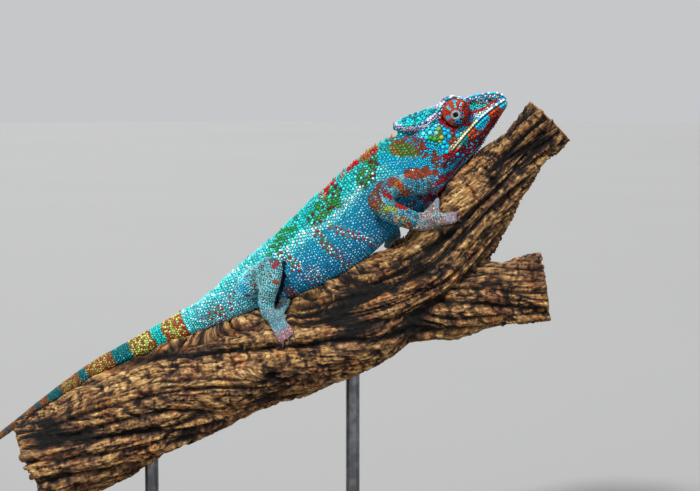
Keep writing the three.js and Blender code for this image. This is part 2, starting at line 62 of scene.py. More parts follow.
def lumps(points, size=1.0, seed=0):  # smooth noise from -1 to 1, whose lumps are size across
    points = points / size
    cell = np.floor(points).astype(np.int64)
    part = points - cell
    fade = part * part * (3 - 2 * part)
    total = np.zeros(len(points))
    for corner in itertools.product((0, 1), repeat=3):
        at = cell + corner
        mixed = at[:, 0] * 73856093 ^ at[:, 1] * 19349663 ^ at[:, 2] * 83492791 ^ (seed * 40503 + 977)
        mixed = ((mixed & 0xFFFFFFFF) ^ ((mixed & 0xFFFFFFFF) >> 13)) * 1274126177 & 0xFFFFFFFF
        weight = np.prod(np.where(corner, fade, 1 - fade), axis=1)
        total += weight * ((mixed >> 8 & 0xFFFF) / 32767.5 - 1)
    return total


def curve(stations, step=0.5):  # a smooth line through stations, as points a step apart
    p = np.array(stations, float)
    p = np.vstack([2 * p[0] - p[1], p, 2 * p[-1] - p[-2]])
    t = np.linspace(0, 1, 40, endpoint=False)[:, None]
    parts = []
    for a, b, c, d in zip(p, p[1:], p[2:], p[3:]):
        parts.append(0.5 * (2 * b + (c - a) * t + (2 * a - 5 * b + 4 * c - d) * t**2
                            + (3 * b - a - 3 * c + d) * t**3))
    dense = np.vstack([*parts, p[-2][None]])
    reach = np.concatenate([[0], np.cumsum(np.linalg.norm(np.diff(dense[:, :3], axis=0), axis=1))])
    wanted = np.arange(0, reach[-1], step)
    return np.stack([np.interp(wanted, reach, dense[:, k]) for k in range(p.shape[1])], axis=1)


def treeOf(points):  # finds near points by their index
    tree = kdtree.KDTree(len(points))
    for i, p in enumerate(points.tolist()):
        tree.insert(p, i)
    tree.balance()
    return tree


class Line:  # a centreline with a way up, along which a length of body is measured
    def __init__(self, stations, up, step=0.5):
        self.step = step
        self.points = curve(stations, step)[:, :3]
        self.tangents = unit(np.gradient(self.points, axis=0))
        self.ups = unit(up - (self.tangents @ up)[:, None] * self.tangents)
        self.sides = np.cross(self.tangents, self.ups)
        self.length = step * (len(self.points) - 1)
        self.tree = treeOf(self.points)

    def along(self, points):  # how far along, and the angle round from the way up
        index = np.array([self.tree.find(p)[1] for p in points], int)
        away = points - self.points[index]
        turn = np.arctan2((away * self.sides[index]).sum(1), (away * self.ups[index]).sum(1))
        return index * self.step + (away * self.tangents[index]).sum(1), turn


def nodeShape(name):  # a CAD node's merged corners in millimetres, and its triangles
    mesh = nodes[name].data
    mesh.calc_loop_triangles()
    co = np.zeros(len(mesh.vertices) * 3)
    mesh.vertices.foreach_get("co", co)
    corners, index = np.unique(np.round(co.reshape(-1, 3) / mm, 3), axis=0, return_inverse=True)
    tris = np.zeros(len(mesh.loop_triangles) * 3, int)
    mesh.loop_triangles.foreach_get("vertices", tris)
    tris = index.reshape(-1)[tris].reshape(-1, 3)
    kept = (tris[:, 0] != tris[:, 1]) & (tris[:, 1] != tris[:, 2]) & (tris[:, 2] != tris[:, 0])
    return corners, tris[kept]


def normalsOf(points, faces):
    a, b, c = (points[faces[:, k]] for k in range(3))
    across = np.cross(b - a, c - a) if faces.shape[1] == 3 else np.cross(c - a, points[faces[:, 3]] - b)
    total = np.zeros_like(points)
    for corner in faces.T:
        for axis in range(3):
            total[:, axis] += np.bincount(corner, across[:, axis], len(points))
    return unit(total)


def smoothed(points, faces, rounds, weight):  # moves points towards their neighbours' mean
    ends = np.vstack([faces[:, [k, (k + 1) % faces.shape[1]]] for k in range(faces.shape[1])])
    count = np.maximum(np.bincount(ends[:, 0], minlength=len(points)), 1)[:, None]
    for strength in rounds:
        mean = np.stack([np.bincount(ends[:, 0], points[ends[:, 1], k], len(points)) for k in range(3)], 1)
        points = points + (mean / count - points) * (strength * weight)[:, None]
    return points


def meshObject(name, points, faces, material=None, smooth=True):  # faces: arrays of triangles, quads ...
    groups = faces if isinstance(faces, list) else [faces]
    corners = np.concatenate([g.ravel() for g in groups])
    counts = np.concatenate([np.full(len(g), g.shape[1]) for g in groups])
    mesh = bpy.data.meshes.new(name)
    mesh.vertices.add(len(points))
    mesh.vertices.foreach_set("co", (points * mm).astype(np.float32).ravel())
    mesh.loops.add(len(corners))
    mesh.loops.foreach_set("vertex_index", corners.astype(np.int32))
    mesh.polygons.add(len(counts))
    mesh.polygons.foreach_set("loop_start", np.concatenate([[0], np.cumsum(counts)[:-1]]).astype(np.int32))
    mesh.update(calc_edges=True)
    mesh.polygons.foreach_set("use_smooth", np.full(len(counts), smooth))
    obj = bpy.data.objects.new(name, mesh)
    bpy.context.scene.collection.objects.link(obj)
    if material:
        mesh.materials.append(material)
    return obj


def setColours(obj, name, colours):
    layer = obj.data.color_attributes.new(name, "FLOAT_COLOR", "POINT")
    full = np.hstack([colours, np.ones((len(colours), 1))])
    layer.data.foreach_set("color", full.astype(np.float32).ravel())


def setValues(obj, name, values, kind="FLOAT"):
    layer = obj.data.attributes.new(name, kind, "POINT")
    layer.data.foreach_set("value" if kind == "FLOAT" else "vector", values.astype(np.float32).ravel())


def tubeShape(centres, radii, sides=10):  # a closed tube of triangles along a line
    tangents = unit(np.gradient(centres, axis=0))
    across = unit(np.cross(tangents, (0.31, 0.17, 0.93)))
    above = np.cross(across, tangents)
    turns = np.linspace(0, 2 * math.pi, sides, endpoint=False)
    ways = np.cos(turns)[None, :, None] * across[:, None] + np.sin(turns)[None, :, None] * above[:, None]
    rings = centres[:, None] + ways * np.asarray(radii)[:, None, None]
    points = np.vstack([rings.reshape(-1, 3), centres[:1], centres[-1:]])
    i, j = np.arange(sides), (np.arange(sides) + 1) % sides
    steps = np.arange(len(centres) - 1)[:, None] * sides
    first = np.stack([steps + i, steps + j + sides, steps + j], 2).reshape(-1, 3)
    second = np.stack([steps + i, steps + i + sides, steps + j + sides], 2).reshape(-1, 3)
    last = (len(centres) - 1) * sides
    start = np.stack([i, j, np.full(sides, len(points) - 2)], 1)
    end = np.stack([last + j, last + i, np.full(sides, len(points) - 1)], 1)
    return points, np.vstack([first, second, start, end])


def joinedShapes(shapes):
    starts = np.cumsum([0] + [len(points) for points, _ in shapes])
    return np.vstack([p for p, _ in shapes]), np.vstack([f + k for (_, f), k in zip(shapes, starts)])


def voxelShape(points, faces, size):  # one closed skin round overlapping lumps
    lump = meshObject("lump", points, faces)
    remesh = lump.modifiers.new("remesh", "REMESH")
    remesh.mode = "VOXEL"
    remesh.voxel_size = size * mm
    done = lump.evaluated_get(bpy.context.evaluated_depsgraph_get()).to_mesh()
    co = np.zeros(len(done.vertices) * 3)
    done.vertices.foreach_get("co", co)
    quads = np.zeros(len(done.loops), int)
    done.loops.foreach_get("vertex_index", quads)
    bpy.data.objects.remove(lump)
    return co.reshape(-1, 3) / mm, quads.reshape(-1, 4)


def finished(obj, slot, *replaced):  # every piece rides on the one body
    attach(obj, "root")
    if replaced:
        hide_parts(*replaced)
    return obj


# Shader tools.


class Value:  # a socket whose maths is written as plain expressions
    def __init__(self, finish, socket):
        self.finish = finish
        self.socket = socket

    def maths(self, operation, first, second=0.0):
        return self.finish.node("ShaderNodeMath", {"operation": operation}, {0: first, 1: second})

    def __add__(self, other):
        return self.maths("ADD", self, other)

    __radd__ = __add__

    def __sub__(self, other):
        return self.maths("SUBTRACT", self, other)

    def __rsub__(self, other):
        return self.maths("SUBTRACT", other, self)

    def __mul__(self, other):
        return self.maths("MULTIPLY", self, other)

    def between(self, low, high):  # 0 below low, 1 above high, smooth in between
        return self.finish.node("ShaderNodeMapRange", {"interpolation_type": "SMOOTHSTEP"},
                                {"Value": self, "From Min": low, "From Max": high})


class Finish:  # one material and its node tree
    def __init__(self, name, **fixed):
        self.material = bpy.data.materials.new(name)
        self.material.use_nodes = True
        self.nodes = self.material.node_tree.nodes
        self.links = self.material.node_tree.links
        self.shader = self.nodes["Principled BSDF"]
        for socket, value in fixed.items():
            self.shader.inputs[socket.replace("_", " ")].default_value = value

    def node(self, kind, settings=None, sockets=None, out=0):
        made = self.nodes.new(kind)
        for setting, value in (settings or {}).items():
            if setting == "stops":
                self.setStops(made.color_ramp, value)
            else:
                setattr(made, setting, value)
        for key, value in (sockets or {}).items():
            if isinstance(value, Value):
                self.links.new(value.socket, made.inputs[key])
            else:
                made.inputs[key].default_value = value
        return Value(self, made.outputs[out])

    def setStops(self, ramp, stops):
        while len(ramp.elements) < len(stops):
            ramp.elements.new(1.0)
        for element, (position, colour) in zip(ramp.elements, stops):
            element.position = position
            element.color = (*colour, 1)

    def ramp(self, value, stops):
        return self.node("ShaderNodeValToRGB", {"stops": stops}, {0: value})

    def mix(self, factor, first, second, blend="MIX"):
        pair = [v if isinstance(v, Value) else (*v, 1) for v in (first, second)]
        settings = {"data_type": "RGBA", "blend_type": blend}
        return self.node("ShaderNodeMix", settings, {0: factor, 6: pair[0], 7: pair[1]}, out=2)

    def noise(self, place, scale, detail=3.0, out=0, **more):
        sockets = {"Vector": place, "Scale": scale, "Detail": detail, **more}
        return self.node("ShaderNodeTexNoise", None, sockets, out)

    def attribute(self, name, out="Color"):
        return self.node("ShaderNodeAttribute", {"attribute_name": name}, None, out)

    def place(self):
        return self.node("ShaderNodeTexCoord", None, None, "Object")

    def stretch(self, vector, scale):
        return self.node("ShaderNodeVectorMath", {"operation": "MULTIPLY"}, {0: vector, 1: scale})

    def bump(self, height, strength, distance):
        sockets = {"Height": height, "Strength": strength, "Distance": distance}
        return self.node("ShaderNodeBump", None, sockets)

    def feed(self, **sockets):
        for socket, value in sockets.items():
            self.links.new(value.socket, self.shader.inputs[socket.replace("_", " ")])
        return self.material


def ink(red, green, blue):  # a colour as seen on a screen, 0 to 255, in the linear form that Blender uses
    return tuple(((c / 255 + 0.055) / 1.055) ** 2.4 if c > 10 else c / 3295 for c in (red, green, blue))


# Camera, floor and lights.

view = {"target": (46.4, 0.0, 205.2), "distance": 1100.0, "elevation": 5.5, "lens": 97.5}


def makeCamera():
    tilt = math.radians(view["elevation"])
    camera = bpy.data.objects.new("camera", bpy.data.cameras.new("camera"))
    away = Vector((0, -math.cos(tilt), math.sin(tilt))) * view["distance"]
    camera.location = (Vector(view["target"]) + away) * mm
    camera.rotation_euler = (math.pi / 2 - tilt, 0, 0)
    camera.data.sensor_width = 36
    camera.data.lens = view["lens"]
    camera.data.clip_end = 100
    bpy.context.scene.collection.objects.link(camera)
    bpy.context.scene.camera = camera


studio = {
    "floorRadius": 9000.0,
    "floor": ink(143, 143, 142),
    "world": (0.80, 0.82, 0.84),
    "worldStrength": 0.7,
    # name: the way to the lamp, its strength, and how wide it looks, in degrees
    "lamps": {
        "key": ((-0.45, -0.95, 1.0), 3.8, 7),
        "fill": ((0.9, -0.9, 0.2), 1.0, 50),
        "rim": ((-0.2, 0.9, 0.9), 1.0, 30),
    },
}


def makeStudio():
    ring = np.linspace(0, 2 * math.pi, 96, endpoint=False)
    rim = np.stack([np.cos(ring), np.sin(ring), 0 * ring], 1) * studio["floorRadius"]
    finish = Finish("floor_paint", Roughness=0.7)
    cloudy = finish.noise(finish.place(), 1.2)
    tone = finish.mix(cloudy, studio["floor"], ink(148, 148, 147))
    floor = meshObject("floor", rim, np.arange(96)[None, :], finish.feed(Base_Color=tone), smooth=False)
    world = bpy.data.worlds.new("studio")
    bpy.context.scene.world = world
    world.use_nodes = True
    background = world.node_tree.nodes["Background"]
    background.inputs["Color"].default_value = (*studio["world"], 1)
    background.inputs["Strength"].default_value = studio["worldStrength"]
    for name, (way, strength, width) in studio["lamps"].items():
        lamp = bpy.data.lights.new(name, "SUN")
        lamp.angle = math.radians(width)
        lamp.energy = strength
        obj = bpy.data.objects.new(name, lamp)
        obj.location = Vector(way)
        obj.rotation_euler = Vector(way).to_track_quat("Z", "Y").to_euler()
        bpy.context.scene.collection.objects.link(obj)
    bpy.context.scene.view_settings.view_transform = "Standard"


makeCamera()
makeStudio()
print("stage: camera, floor and lamps")

# The animal's lines: where its lengths run, from the same stations as its solids.

head = {"snout": (134.9, 287.4), "pitch": 33.0}
eye = {"back": 26.7, "up": 11.2, "out": 12.6}


def headPoint(back, out, up):
    pitch = math.radians(head["pitch"])
    c, s = math.cos(pitch), math.sin(pitch)
    return np.array([head["snout"][0] - c * back - s * up, out, head["snout"][1] - s * back + c * up])


def headPlace(points):  # back and up of points, the way headPoint takes them
    pitch = math.radians(head["pitch"])
    x, z = points[:, 0] - head["snout"][0], points[:, 2] - head["snout"][1]
    return -x * math.cos(pitch) - z * math.sin(pitch), -x * math.sin(pitch) + z * math.cos(pitch)


def tailStations():
    stations = [(-30, 0, 168), (-45, 0.1, 161.6), (-66.5, 1, 151.2), (-97.5, 2.4, 135.6),
                (-125.2, 2.4, 117.8), (-150, 1, 99.6)]
    free = {"length": 112, "tightest": 4.3, "bend": 2.4, "steps": 24}
    x, z = stations[-1][0], stations[-1][2]
    heading = math.atan2(z - 108.6, x + 138)
    step = free["length"] / free["steps"]
    for k in range(free["steps"]):
        heading += step / free["tightest"] * ((k + 1) / free["steps"]) ** free["bend"]
        x += step * math.cos(heading)
        z += step * math.sin(heading)
        stations.append((x, 1 - (k + 1) / free["steps"], z))
    return stations


limbStations = {
    "front_right": [(95.5, -6.5, 243.5), (84, -15.5, 242.4), (71.5, -21, 240.4), (62, -23.5, 237.2),
                    (60.4, -23.5, 233.2), (66, -23.8, 228.4), (74, -23.4, 224.8), (82.5, -21.4, 221.2)],
    "front_left": [(94, 6.5, 241), (84.5, 15.5, 237.5), (73.5, 21, 233.5), (65, 23.8, 230),
                   (64.2, 23.8, 227.5), (65.8, 23.6, 221.5), (69, 21.8, 215.5), (72.5, 18.6, 210.5)],
    "hind_right": [(-13.5, -4.5, 180), (-8.5, -12, 186), (-2.6, -18, 192), (2.6, -21.5, 197.4),
                   (3.4, -22.5, 196.4), (1.4, -23.4, 188), (-1, -22.4, 179), (-1.6, -20.4, 171.8)],
    "hind_left": [(-15.5, 4.5, 178), (-11.5, 12, 182.5), (-7, 18, 187.5), (-3.5, 21.5, 191.5),
                  (-3, 22.5, 190.5), (-6.4, 23.4, 183.5), (-10.8, 22.4, 175.6), (-13.4, 20, 168.6)],
}
trunkStations = [(97, 0, 259), (82, 0, 250.5), (62, 0, 235), (39, 0, 213.5), (13, 0, 194.5),
                 (-12, 0, 181), (-30, 0, 169), (-41, 0, 163)]
upward = np.array([0.0, 0.0, 1.0])


def footStations(leg):  # from the ankle through the middle of the foot to its toes
    low, high = (np.array(c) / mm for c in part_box(leg + "_foot"))
    ankle = np.array(limbStations[leg][-1])
    middle = (low + high) / 2
    return [ankle, (ankle + middle) / 2, middle, middle + 0.6 * (middle - ankle)]


lines = {
    "head": Line([headPoint(b, 0, 1) for b in (-3, 15, 30, 45, 60)], upward),
    "trunk": Line(trunkStations, upward),
    "tail": Line(tailStations(), np.array([0.35, 0.0, 1.0])),
    **{leg: Line(stations, upward) for leg, stations in limbStations.items()},
    **{leg + "_foot": Line(footStations(leg), upward) for leg in limbStations},
}
legs = list(limbStations)


def regionOf(node):
    leg = "_".join(node.split("_")[:2])
    if leg in limbStations:
        return leg + "_foot" if node.endswith("foot") else leg
    return {"lower_jaw": "head", "neck": "trunk"}.get(node, node.split("_")[0])


fleshNodes = [n for n in nodes if not n.startswith(("stand", "perch", "eye")) and "claw" not in n]
regions = [regionOf(n) for n in fleshNodes]
regionNames = sorted(set(regions))

# The skin: one closed surface round all the flesh.

skinSizes = {
    "voxel": 0.95,
    "grow": 0.27,       # closes the solids' clear gaps
    "rounds": 46,       # of smoothing, at full weight
    # how far the scales stand over the skin, and how much it is smoothed
    "depth": {"trunk": 0.5, "tail": 0.4, "head": 0.4, "limb": 0.4, "foot": 0.2},
    "weight": {"trunk": 1.0, "tail": 0.5, "head": 0.12, "limb": 0.4, "foot": 0.06},
    # how dark the skin is painted beside the scales on it: painted shade in the gaps between them
    "shade": {"trunk": 0.36, "tail": 0.36, "head": 0.17, "limb": 0.6, "foot": 0.7},
}
# Folds of skin: the ring round each turret's foot, the one under the breast, and the one before each thigh.
socketFold = {"ring": 8.6, "thick": 1.05, "inward": 1.2}
breastFold = {"line": [(79, 0, 221), (86, 0, 224.8), (92, 0, 229.6), (97, 0, 236)], "thick": 3.8}
thighFold = {"line": [(8.4, 197), (7.6, 188), (6.0, 179)], "deep": 1.7, "wide": 1.4}
nostril = {"place": (6.0, 6.2), "deep": 1.6, "wide": 0.9}  # its place is back and up on the head
# The crest over each eye, from the snout to the casque's tip: back, out, up.
crestStations = [(-2, 4.2, 4.4), (0.5, 5.4, 6.6), (4.5, 6.4, 9), (8.7, 7, 11), (13.3, 7.8, 13.2),
                 (18.5, 9, 16.2), (23.6, 10.2, 19.2), (27.7, 11, 20), (32, 11.6, 18.6), (37, 12.3, 16),
                 (44, 12, 15.2), (50, 10, 17.3), (56, 6.4, 20.6), (60, 2.2, 23)]
mouthLine = [(-2.4, 0.9), (8.6, 0.8), (17.6, -0.3), (28.3, -2.9), (36.6, -5.4), (40.4, -6.7)]


def bySort(sizes):  # a size for each region, from the sizes for each sort of region
    sorts = ["foot" if r.endswith("foot") else "limb" if r in legs else r for r in regionNames]
    return np.array([sizes[s] for s in sorts])


def isIn(region, *names):  # whether each region is one of those named
    return np.isin(region, [regionNames.index(n) for n in names])


def crestDistance(points):  # from the head's crests, either side alike
    tree = treeOf(curve([headPoint(*s) for s in crestStations], 1.0))
    mirrored = points * (1, -1, 1)
    mirrored[:, 1] = np.abs(points[:, 1])
    return np.array([tree.find(p)[2] for p in mirrored])


def fleshTree():  # finds the region that a point belongs to
    corners, faces, owner, start = [], [], [], 0
    for node, region in zip(fleshNodes, regions):
        points, tris = nodeShape(node)
        corners.append(points)
        faces.append(tris + start)
        owner += [regionNames.index(region)] * len(tris)
        start += len(points)
    points, tris = np.vstack(corners), np.vstack(faces)
    return points, tris, BVHTree.FromPolygons(points.tolist(), tris.tolist()), np.array(owner)


fleshPoints, fleshTris, fleshFinder, fleshOwner = fleshTree()


def regionsAt(points):
    return fleshOwner[[fleshFinder.find_nearest(p)[2] for p in points.tolist()]]


def finerWhere(points, quads, chosen):  # splits the chosen faces in four, and returns triangles
    mesh = bmesh.new()
    corners = [mesh.verts.new(p) for p in points.tolist()]
    edges = set()
    for quad, pick in zip(quads.tolist(), chosen):
        face = mesh.faces.new([corners[i] for i in quad])
        if pick:
            edges.update(face.edges)
    bmesh.ops.subdivide_edges(mesh, edges=list(edges), cuts=1, use_grid_fill=True)
    bmesh.ops.triangulate(mesh, faces=mesh.faces[:])
    mesh.verts.index_update()
    points = np.array([v.co[:] for v in mesh.verts])
    tris = np.array([[v.index for v in f.verts] for f in mesh.faces])
    mesh.free()
    return points, tris


def pathDistance(places, path):  # from each place (two numbers) to a path of points
    best = np.full(len(places), 1e9)
    for a, b in zip(path, path[1:] if len(path) > 1 else path):
        a, b = np.array(a, float), np.array(b, float)
        t = np.clip(((places - a) @ (b - a)) / max((b - a) @ (b - a), 1e-9), 0, 1)
        best = np.minimum(best, np.linalg.norm(places - a - t[:, None] * (b - a), axis=1))
    return best


def seenPlace(points):  # x and z on the middle plane behind a point of the flank, either side alike
    distance, tilt = view["distance"], math.radians(view["elevation"])
    depth = np.abs(points[:, 1])
    x0, _, z0 = view["target"]
    closer = distance / (distance - depth)
    return np.stack([x0 + (points[:, 0] - x0) * closer,
                     z0 + (points[:, 2] - z0 - depth * math.tan(tilt)) * closer], 1)


def dip(reach, deep, wide):  # a rounded hollow, deepest where reach is 0
    return deep * np.exp(-((reach / wide) ** 2))


def carveFolds(points, region):  # how deep the folds in front of the thighs go
    reach = pathDistance(seenPlace(points), thighFold["line"])
    return dip(reach, thighFold["deep"], thighFold["wide"]) * isIn(region, "trunk")


def carveHead(points, region):  # how deep the mouth, nostril, eye socket and folds go
    back, up = headPlace(points)
    places = np.stack([back, up], 1)
    out = np.abs(points[:, 1])
    isHead = isIn(region, "head")
    mouth = pathDistance(places, mouthLine)
    depth = dip(mouth, 0.75, 0.55)
    lips = -dip(mouth - 1.3, 0.34, 0.8) * (back < 39)
    ridge = pathDistance(places, [(-2.5, 3.2), (3, 4.6), (9, 5.6), (16, 7.2)])
    depth += dip(ridge, 0.7, 0.9) * (out > 1.5)
    away = np.linalg.norm(places - nostril["place"], axis=1)
    depth += dip(away, nostril["deep"], nostril["wide"]) * (out > 2)
    socket = np.linalg.norm(places - (eye["back"], eye["up"]), axis=1)
    depth += dip(socket - 10.4, 0.5, 0.5) * (out > 5)
    pleats = pathDistance(places, [(33, -15), (46, -19)])
    depth += (0.5 + 0.5 * np.sin(up * 2.1 + back * 0.5)) * dip(pleats, 0.35, 7)
    return np.where(isHead, depth + lips, 0)


def crestShapes():  # the head's crests and the wall under them, on both sides
    shapes = []
    for side, (inward, down, radius) in itertools.product((-1, 1), ((0.5, 0.7, 1.15), (1.9, 2.2, 1.7))):
        line = curve([headPoint(b, side * max(o - inward, 0.5), u - down) for b, o, u in crestStations], 1.2)
        shapes.append(tubeShape(line, np.full(len(line), radius)))
    return shapes


def clawLine(node, foot):  # where a claw leaves its toe, the way it points, and the way it hooks
    points, _ = nodeShape(node)
    low, high = (np.array(c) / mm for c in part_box(foot))
    centre = points.mean(0)
    way = np.linalg.svd(points - centre)[2][0]
    way = way if (centre - (low + high) / 2) @ way > 0 else -way
    along = (points - centre) @ way
    first, middle, last = (points[(along >= a) & (along <= b)].mean(0) for a, b in (
        (along.min(), along.min() + 0.6), (np.quantile(along, 0.35), np.quantile(along, 0.75)),
        (along.max() - 0.6, along.max())))
    hook = first + last - 2 * middle
    hook = hook - (hook @ way) * way
    return centre + along.min() * way, way, unit(hook)


def socketShapes():  # a fold of skin round each turret's foot
    shapes = []
    turns = np.linspace(0, 2 * math.pi, 41)
    for side in (-1, 1):
        way = unit(headPoint(0.1, side, 0) - headPoint(0, 0, 0))
        across = unit(np.cross((0.0, 0.0, 1.0), way))
        above = np.cross(way, across)
        middle = headPoint(eye["back"], side * (eye["out"] - socketFold["inward"]), eye["up"])
        circle = np.cos(turns)[:, None] * across + np.sin(turns)[:, None] * above
        ring = middle + socketFold["ring"] * circle
        shapes.append(tubeShape(ring, np.full(len(ring), socketFold["thick"])))
    return shapes


def chestShapes():  # the fold of skin under the breast
    line = curve(breastFold["line"], 1.0)
    return [tubeShape(line, np.full(len(line), breastFold["thick"]))]


def toeShapes():  # round the ends of the toes off over the claws' roots
    shapes = []
    for leg, k in itertools.product(legs, range(1, 6)):
        root, way, _ = clawLine(f"{leg}_claw_{k}", leg + "_foot")
        line = root + np.linspace(-3.4, 0.5, 8)[:, None] * way
        shapes.append(tubeShape(line, np.array([1.6, 1.75, 1.85, 1.9, 1.9, 1.8, 1.6, 1.2])))
    return shapes


def makeSkinShape():
    grown = fleshPoints + normalsOf(fleshPoints, fleshTris) * skinSizes["grow"]
    lumpPoints, lumpTris = joinedShapes([(grown, fleshTris), *crestShapes(), *socketShapes(), *chestShapes(),
                                         *toeShapes()])
    points, quads = voxelShape(lumpPoints, lumpTris, skinSizes["voxel"])
    region = regionsAt(points)
    spread = np.stack([*(bySort(skinSizes[k])[region] for k in ("weight", "depth")), 0 * region], 1)
    spread = smoothed(spread, quads, [0.5] * 12, np.ones(len(points)))
    rounds = [0.6] * skinSizes["rounds"]
    soft = smoothed(points, quads, rounds, spread[:, 0])
    points = soft + smoothed(points - soft, quads, rounds, spread[:, 0])  # keeps it as full as the flesh
    fine = isIn(region, "head")[quads].all(1)
    coarse = BVHTree.FromPolygons(points.tolist(), quads.tolist())
    points, tris = finerWhere(points, quads, fine)
    region = regionsAt(points)
    nearest = quads[[coarse.find_nearest(p)[2] for p in points.tolist()]]
    coat = spread[nearest, 1].mean(1) * smoothStep(crestDistance(points), 2.0, 4.0)
    points = smoothed(points, tris, [0.5] * 3, np.where(isIn(region, "head"), 1.0, 0.3))
    normals = normalsOf(points, tris)
    depth = skinSizes["grow"] + coat + carveHead(points, region) + carveFolds(points, region)
    points = points - normals * depth[:, None]
    return points, tris, normalsOf(points, tris), region


skinPoints, skinTris, skinNormals, skinRegion = makeSkinShape()
skinFinder = BVHTree.FromPolygons(skinPoints.tolist(), skinTris.tolist())
print("stage: skin of", len(skinTris), "triangles")

# The markings: the same for the skin and the scales on it.

inks = {
    "turquoise": ink(0, 204, 196), "cyan": ink(0, 184, 222), "deepBlue": ink(8, 142, 200),
    "teal": ink(0, 118, 120), "sky": ink(100, 232, 240), "pale": ink(216, 248, 250),
    "green": ink(40, 136, 44), "lime": ink(140, 165, 40), "gold": ink(178, 128, 40),
    "red": ink(182, 10, 8), "orange": ink(200, 70, 12), "brown": ink(112, 50, 20),
    "rust": ink(150, 54, 14), "spot": ink(156, 14, 8), "darkRed": ink(92, 6, 14), "lilac": ink(206, 198, 232),
    "cream": ink(236, 240, 190), "navy": ink(5, 14, 42), "slate": ink(58, 136, 172),
    "leg": ink(98, 180, 190), "arm": ink(30, 140, 164), "foot": ink(158, 192, 196),
    "pink": ink(208, 92, 92), "straw": ink(206, 214, 112), "tan": ink(214, 176, 84),
    "umber": ink(150, 40, 8), "warm": ink(182, 124, 98), "olive": ink(112, 120, 14),
    "ochre": ink(158, 98, 26),
}

# Lines that several marks share: points (x, z) on the flank, as for every mark.
browPath = [(98, 287), (104, 290.6), (112, 290.8), (120, 291.8), (128, 292.6), (135, 293)]
shoulderPath = [(81, 246.5), (87, 247.4), (94, 248.5)]
upperArmPath = [(80, 246.6), (86, 247.6), (95, 248.6)]
foreArmPath = [(70, 242.6), (74, 239.6), (77.5, 236.6)]
napePath = [(74.5, 262), (78, 260.6), (81.5, 258.2)]
casquePath = [(76, 275), (86, 279), (95, 283)]
chinPath = [(127, 281), (131, 279.5), (134, 283.5)]
jawPath = [(116, 269.5), (121, 271.5), (125, 276)]
gularPath = [(92, 236), (84, 230), (80, 226)]
elbowPath = [(61, 239), (59.5, 234.5), (61, 230)]

# Each mark: its ink, how much of it shows (1 covers all, less leaves dots), its half width, and the points
# that it runs through.
trunkMarks = [
    ("sky", 0.6, 3.8, [(72, 250), (58, 245), (48, 234), (38, 223), (29, 218.5), (20, 211), (10, 203),
                       (-6, 192)]),
    ("pale", 0.34, 2.2, [(58, 245), (48, 234), (38, 223)]),
    ("pale", 0.3, 2.6, [(29, 218.5), (20, 211), (10, 203), (4, 199)]),
    ("green", 0.62, 4.6, [(59, 255), (57.5, 248), (55, 242.5)]),
    ("green", 0.6, 4.6, [(37, 235), (37, 230), (30, 226), (26, 220.5)]),
    ("green", 0.42, 4.2, [(12, 214), (6, 208), (2, 202)]),
    ("olive", 0.12, 4.6, [(59, 255), (55, 242.5)]),
    ("olive", 0.12, 4.6, [(37, 235), (26, 220.5)]),
    ("darkRed", 0.22, 5.0, [(60, 254), (56, 243)]),
    ("darkRed", 0.2, 5.0, [(38, 235), (27, 221)]),
    ("red", 0.88, 3.2, [(60, 262), (54, 257.5)]),
    ("red", 0.8, 2.8, [(49, 254.5), (43, 250)]),
    ("red", 0.7, 3.2, [(35, 242), (29, 236)]),
    ("ochre", 0.2, 3.2, [(60, 262), (54, 257.5)]),
    ("warm", 0.16, 3.2, [(60, 262), (54, 257.5), (43, 250), (29, 236)]),
    ("red", 0.9, 1.8, [(70.6, 270.4), (69, 268)]),
    ("green", 0.5, 2.8, [(29, 211), (33, 205), (37, 201)]),
    ("pale", 0.2, 2.6, [(27, 212), (31.5, 206), (36.5, 201.5), (41, 198.5), (46, 193)]),
    ("lime", 0.3, 2.0, [(35, 215.5), (41, 213.5), (47, 211)]),
    ("pale", 0.18, 2.2, [(34, 217), (40.5, 215), (46, 213), (52, 212), (56, 209), (62, 206)]),
    ("green", 0.4, 2.8, [(9, 199), (14, 195)]),
    ("pale", 0.2, 2.4, [(8, 200), (12.5, 198), (16, 194), (21.5, 192), (28.5, 188)]),
    ("orange", 0.4, 2.2, [(10, 179.5), (13, 177.5), (17, 176)]),
    ("lime", 0.3, 3.5, [(-35, 164), (-31, 166)]),
    # painted shadow: the two navy lines below darken the gap before the thigh and the wedge under the upper
    # arm
    ("navy", 0.95, 1.5, [(8.4, 195), (7.6, 188), (6.0, 179), (5.0, 174)]),
    ("navy", 0.85, 1.5, [(70, 233.6), (78, 235.2), (86, 237.4)]),
    ("slate", 0.6, 3.2, [(74, 268.5), (85, 266.5)]),
    ("green", 0.96, 4.9, napePath),
    ("olive", 0.66, 5.0, napePath),
    ("ochre", 0.7, 1.0, [(70.2, 268), (71, 261), (73.5, 256.5), (76, 255.5)]),
    ("ochre", 0.55, 0.9, [(75, 255.6), (83, 254)]),
    ("ochre", 0.08, 4.6, [(74, 262), (81.5, 258)]),
    ("rust", 0.6, 1.0, [(71.5, 267.5), (74, 265.4), (77, 265), (79.5, 268.5), (82, 264.5)]),
    ("rust", 0.5, 3.2, [(86, 267), (88, 262), (87, 257.5)]),
    ("rust", 0.62, 3.0, [(95, 257.5), (96.5, 253), (92, 249)]),
    ("cyan", 0.9, 3.4, [(66, 255.5), (74, 252.5), (84, 253.5), (91, 254.5)]),
    ("pale", 0.12, 1.6, [(57, 246.5), (66, 252), (86, 257)]),
    ("brown", 0.96, 3.3, shoulderPath),
    ("rust", 0.5, 3.3, shoulderPath),
    ("ochre", 0.2, 3.0, shoulderPath),
    ("orange", 0.16, 2.4, shoulderPath),
    ("pale", 0.05, 3.0, [(81, 246.5), (94, 248.5)]),
    ("rust", 0.9, 3.0, [(94, 248.5), (99, 251)]),
    ("darkRed", 0.8, 5.6, [(107, 256), (103, 249), (97, 242), (90, 237)]),
    ("slate", 0.3, 3.0, gularPath),
    ("darkRed", 0.25, 4.0, gularPath),
]
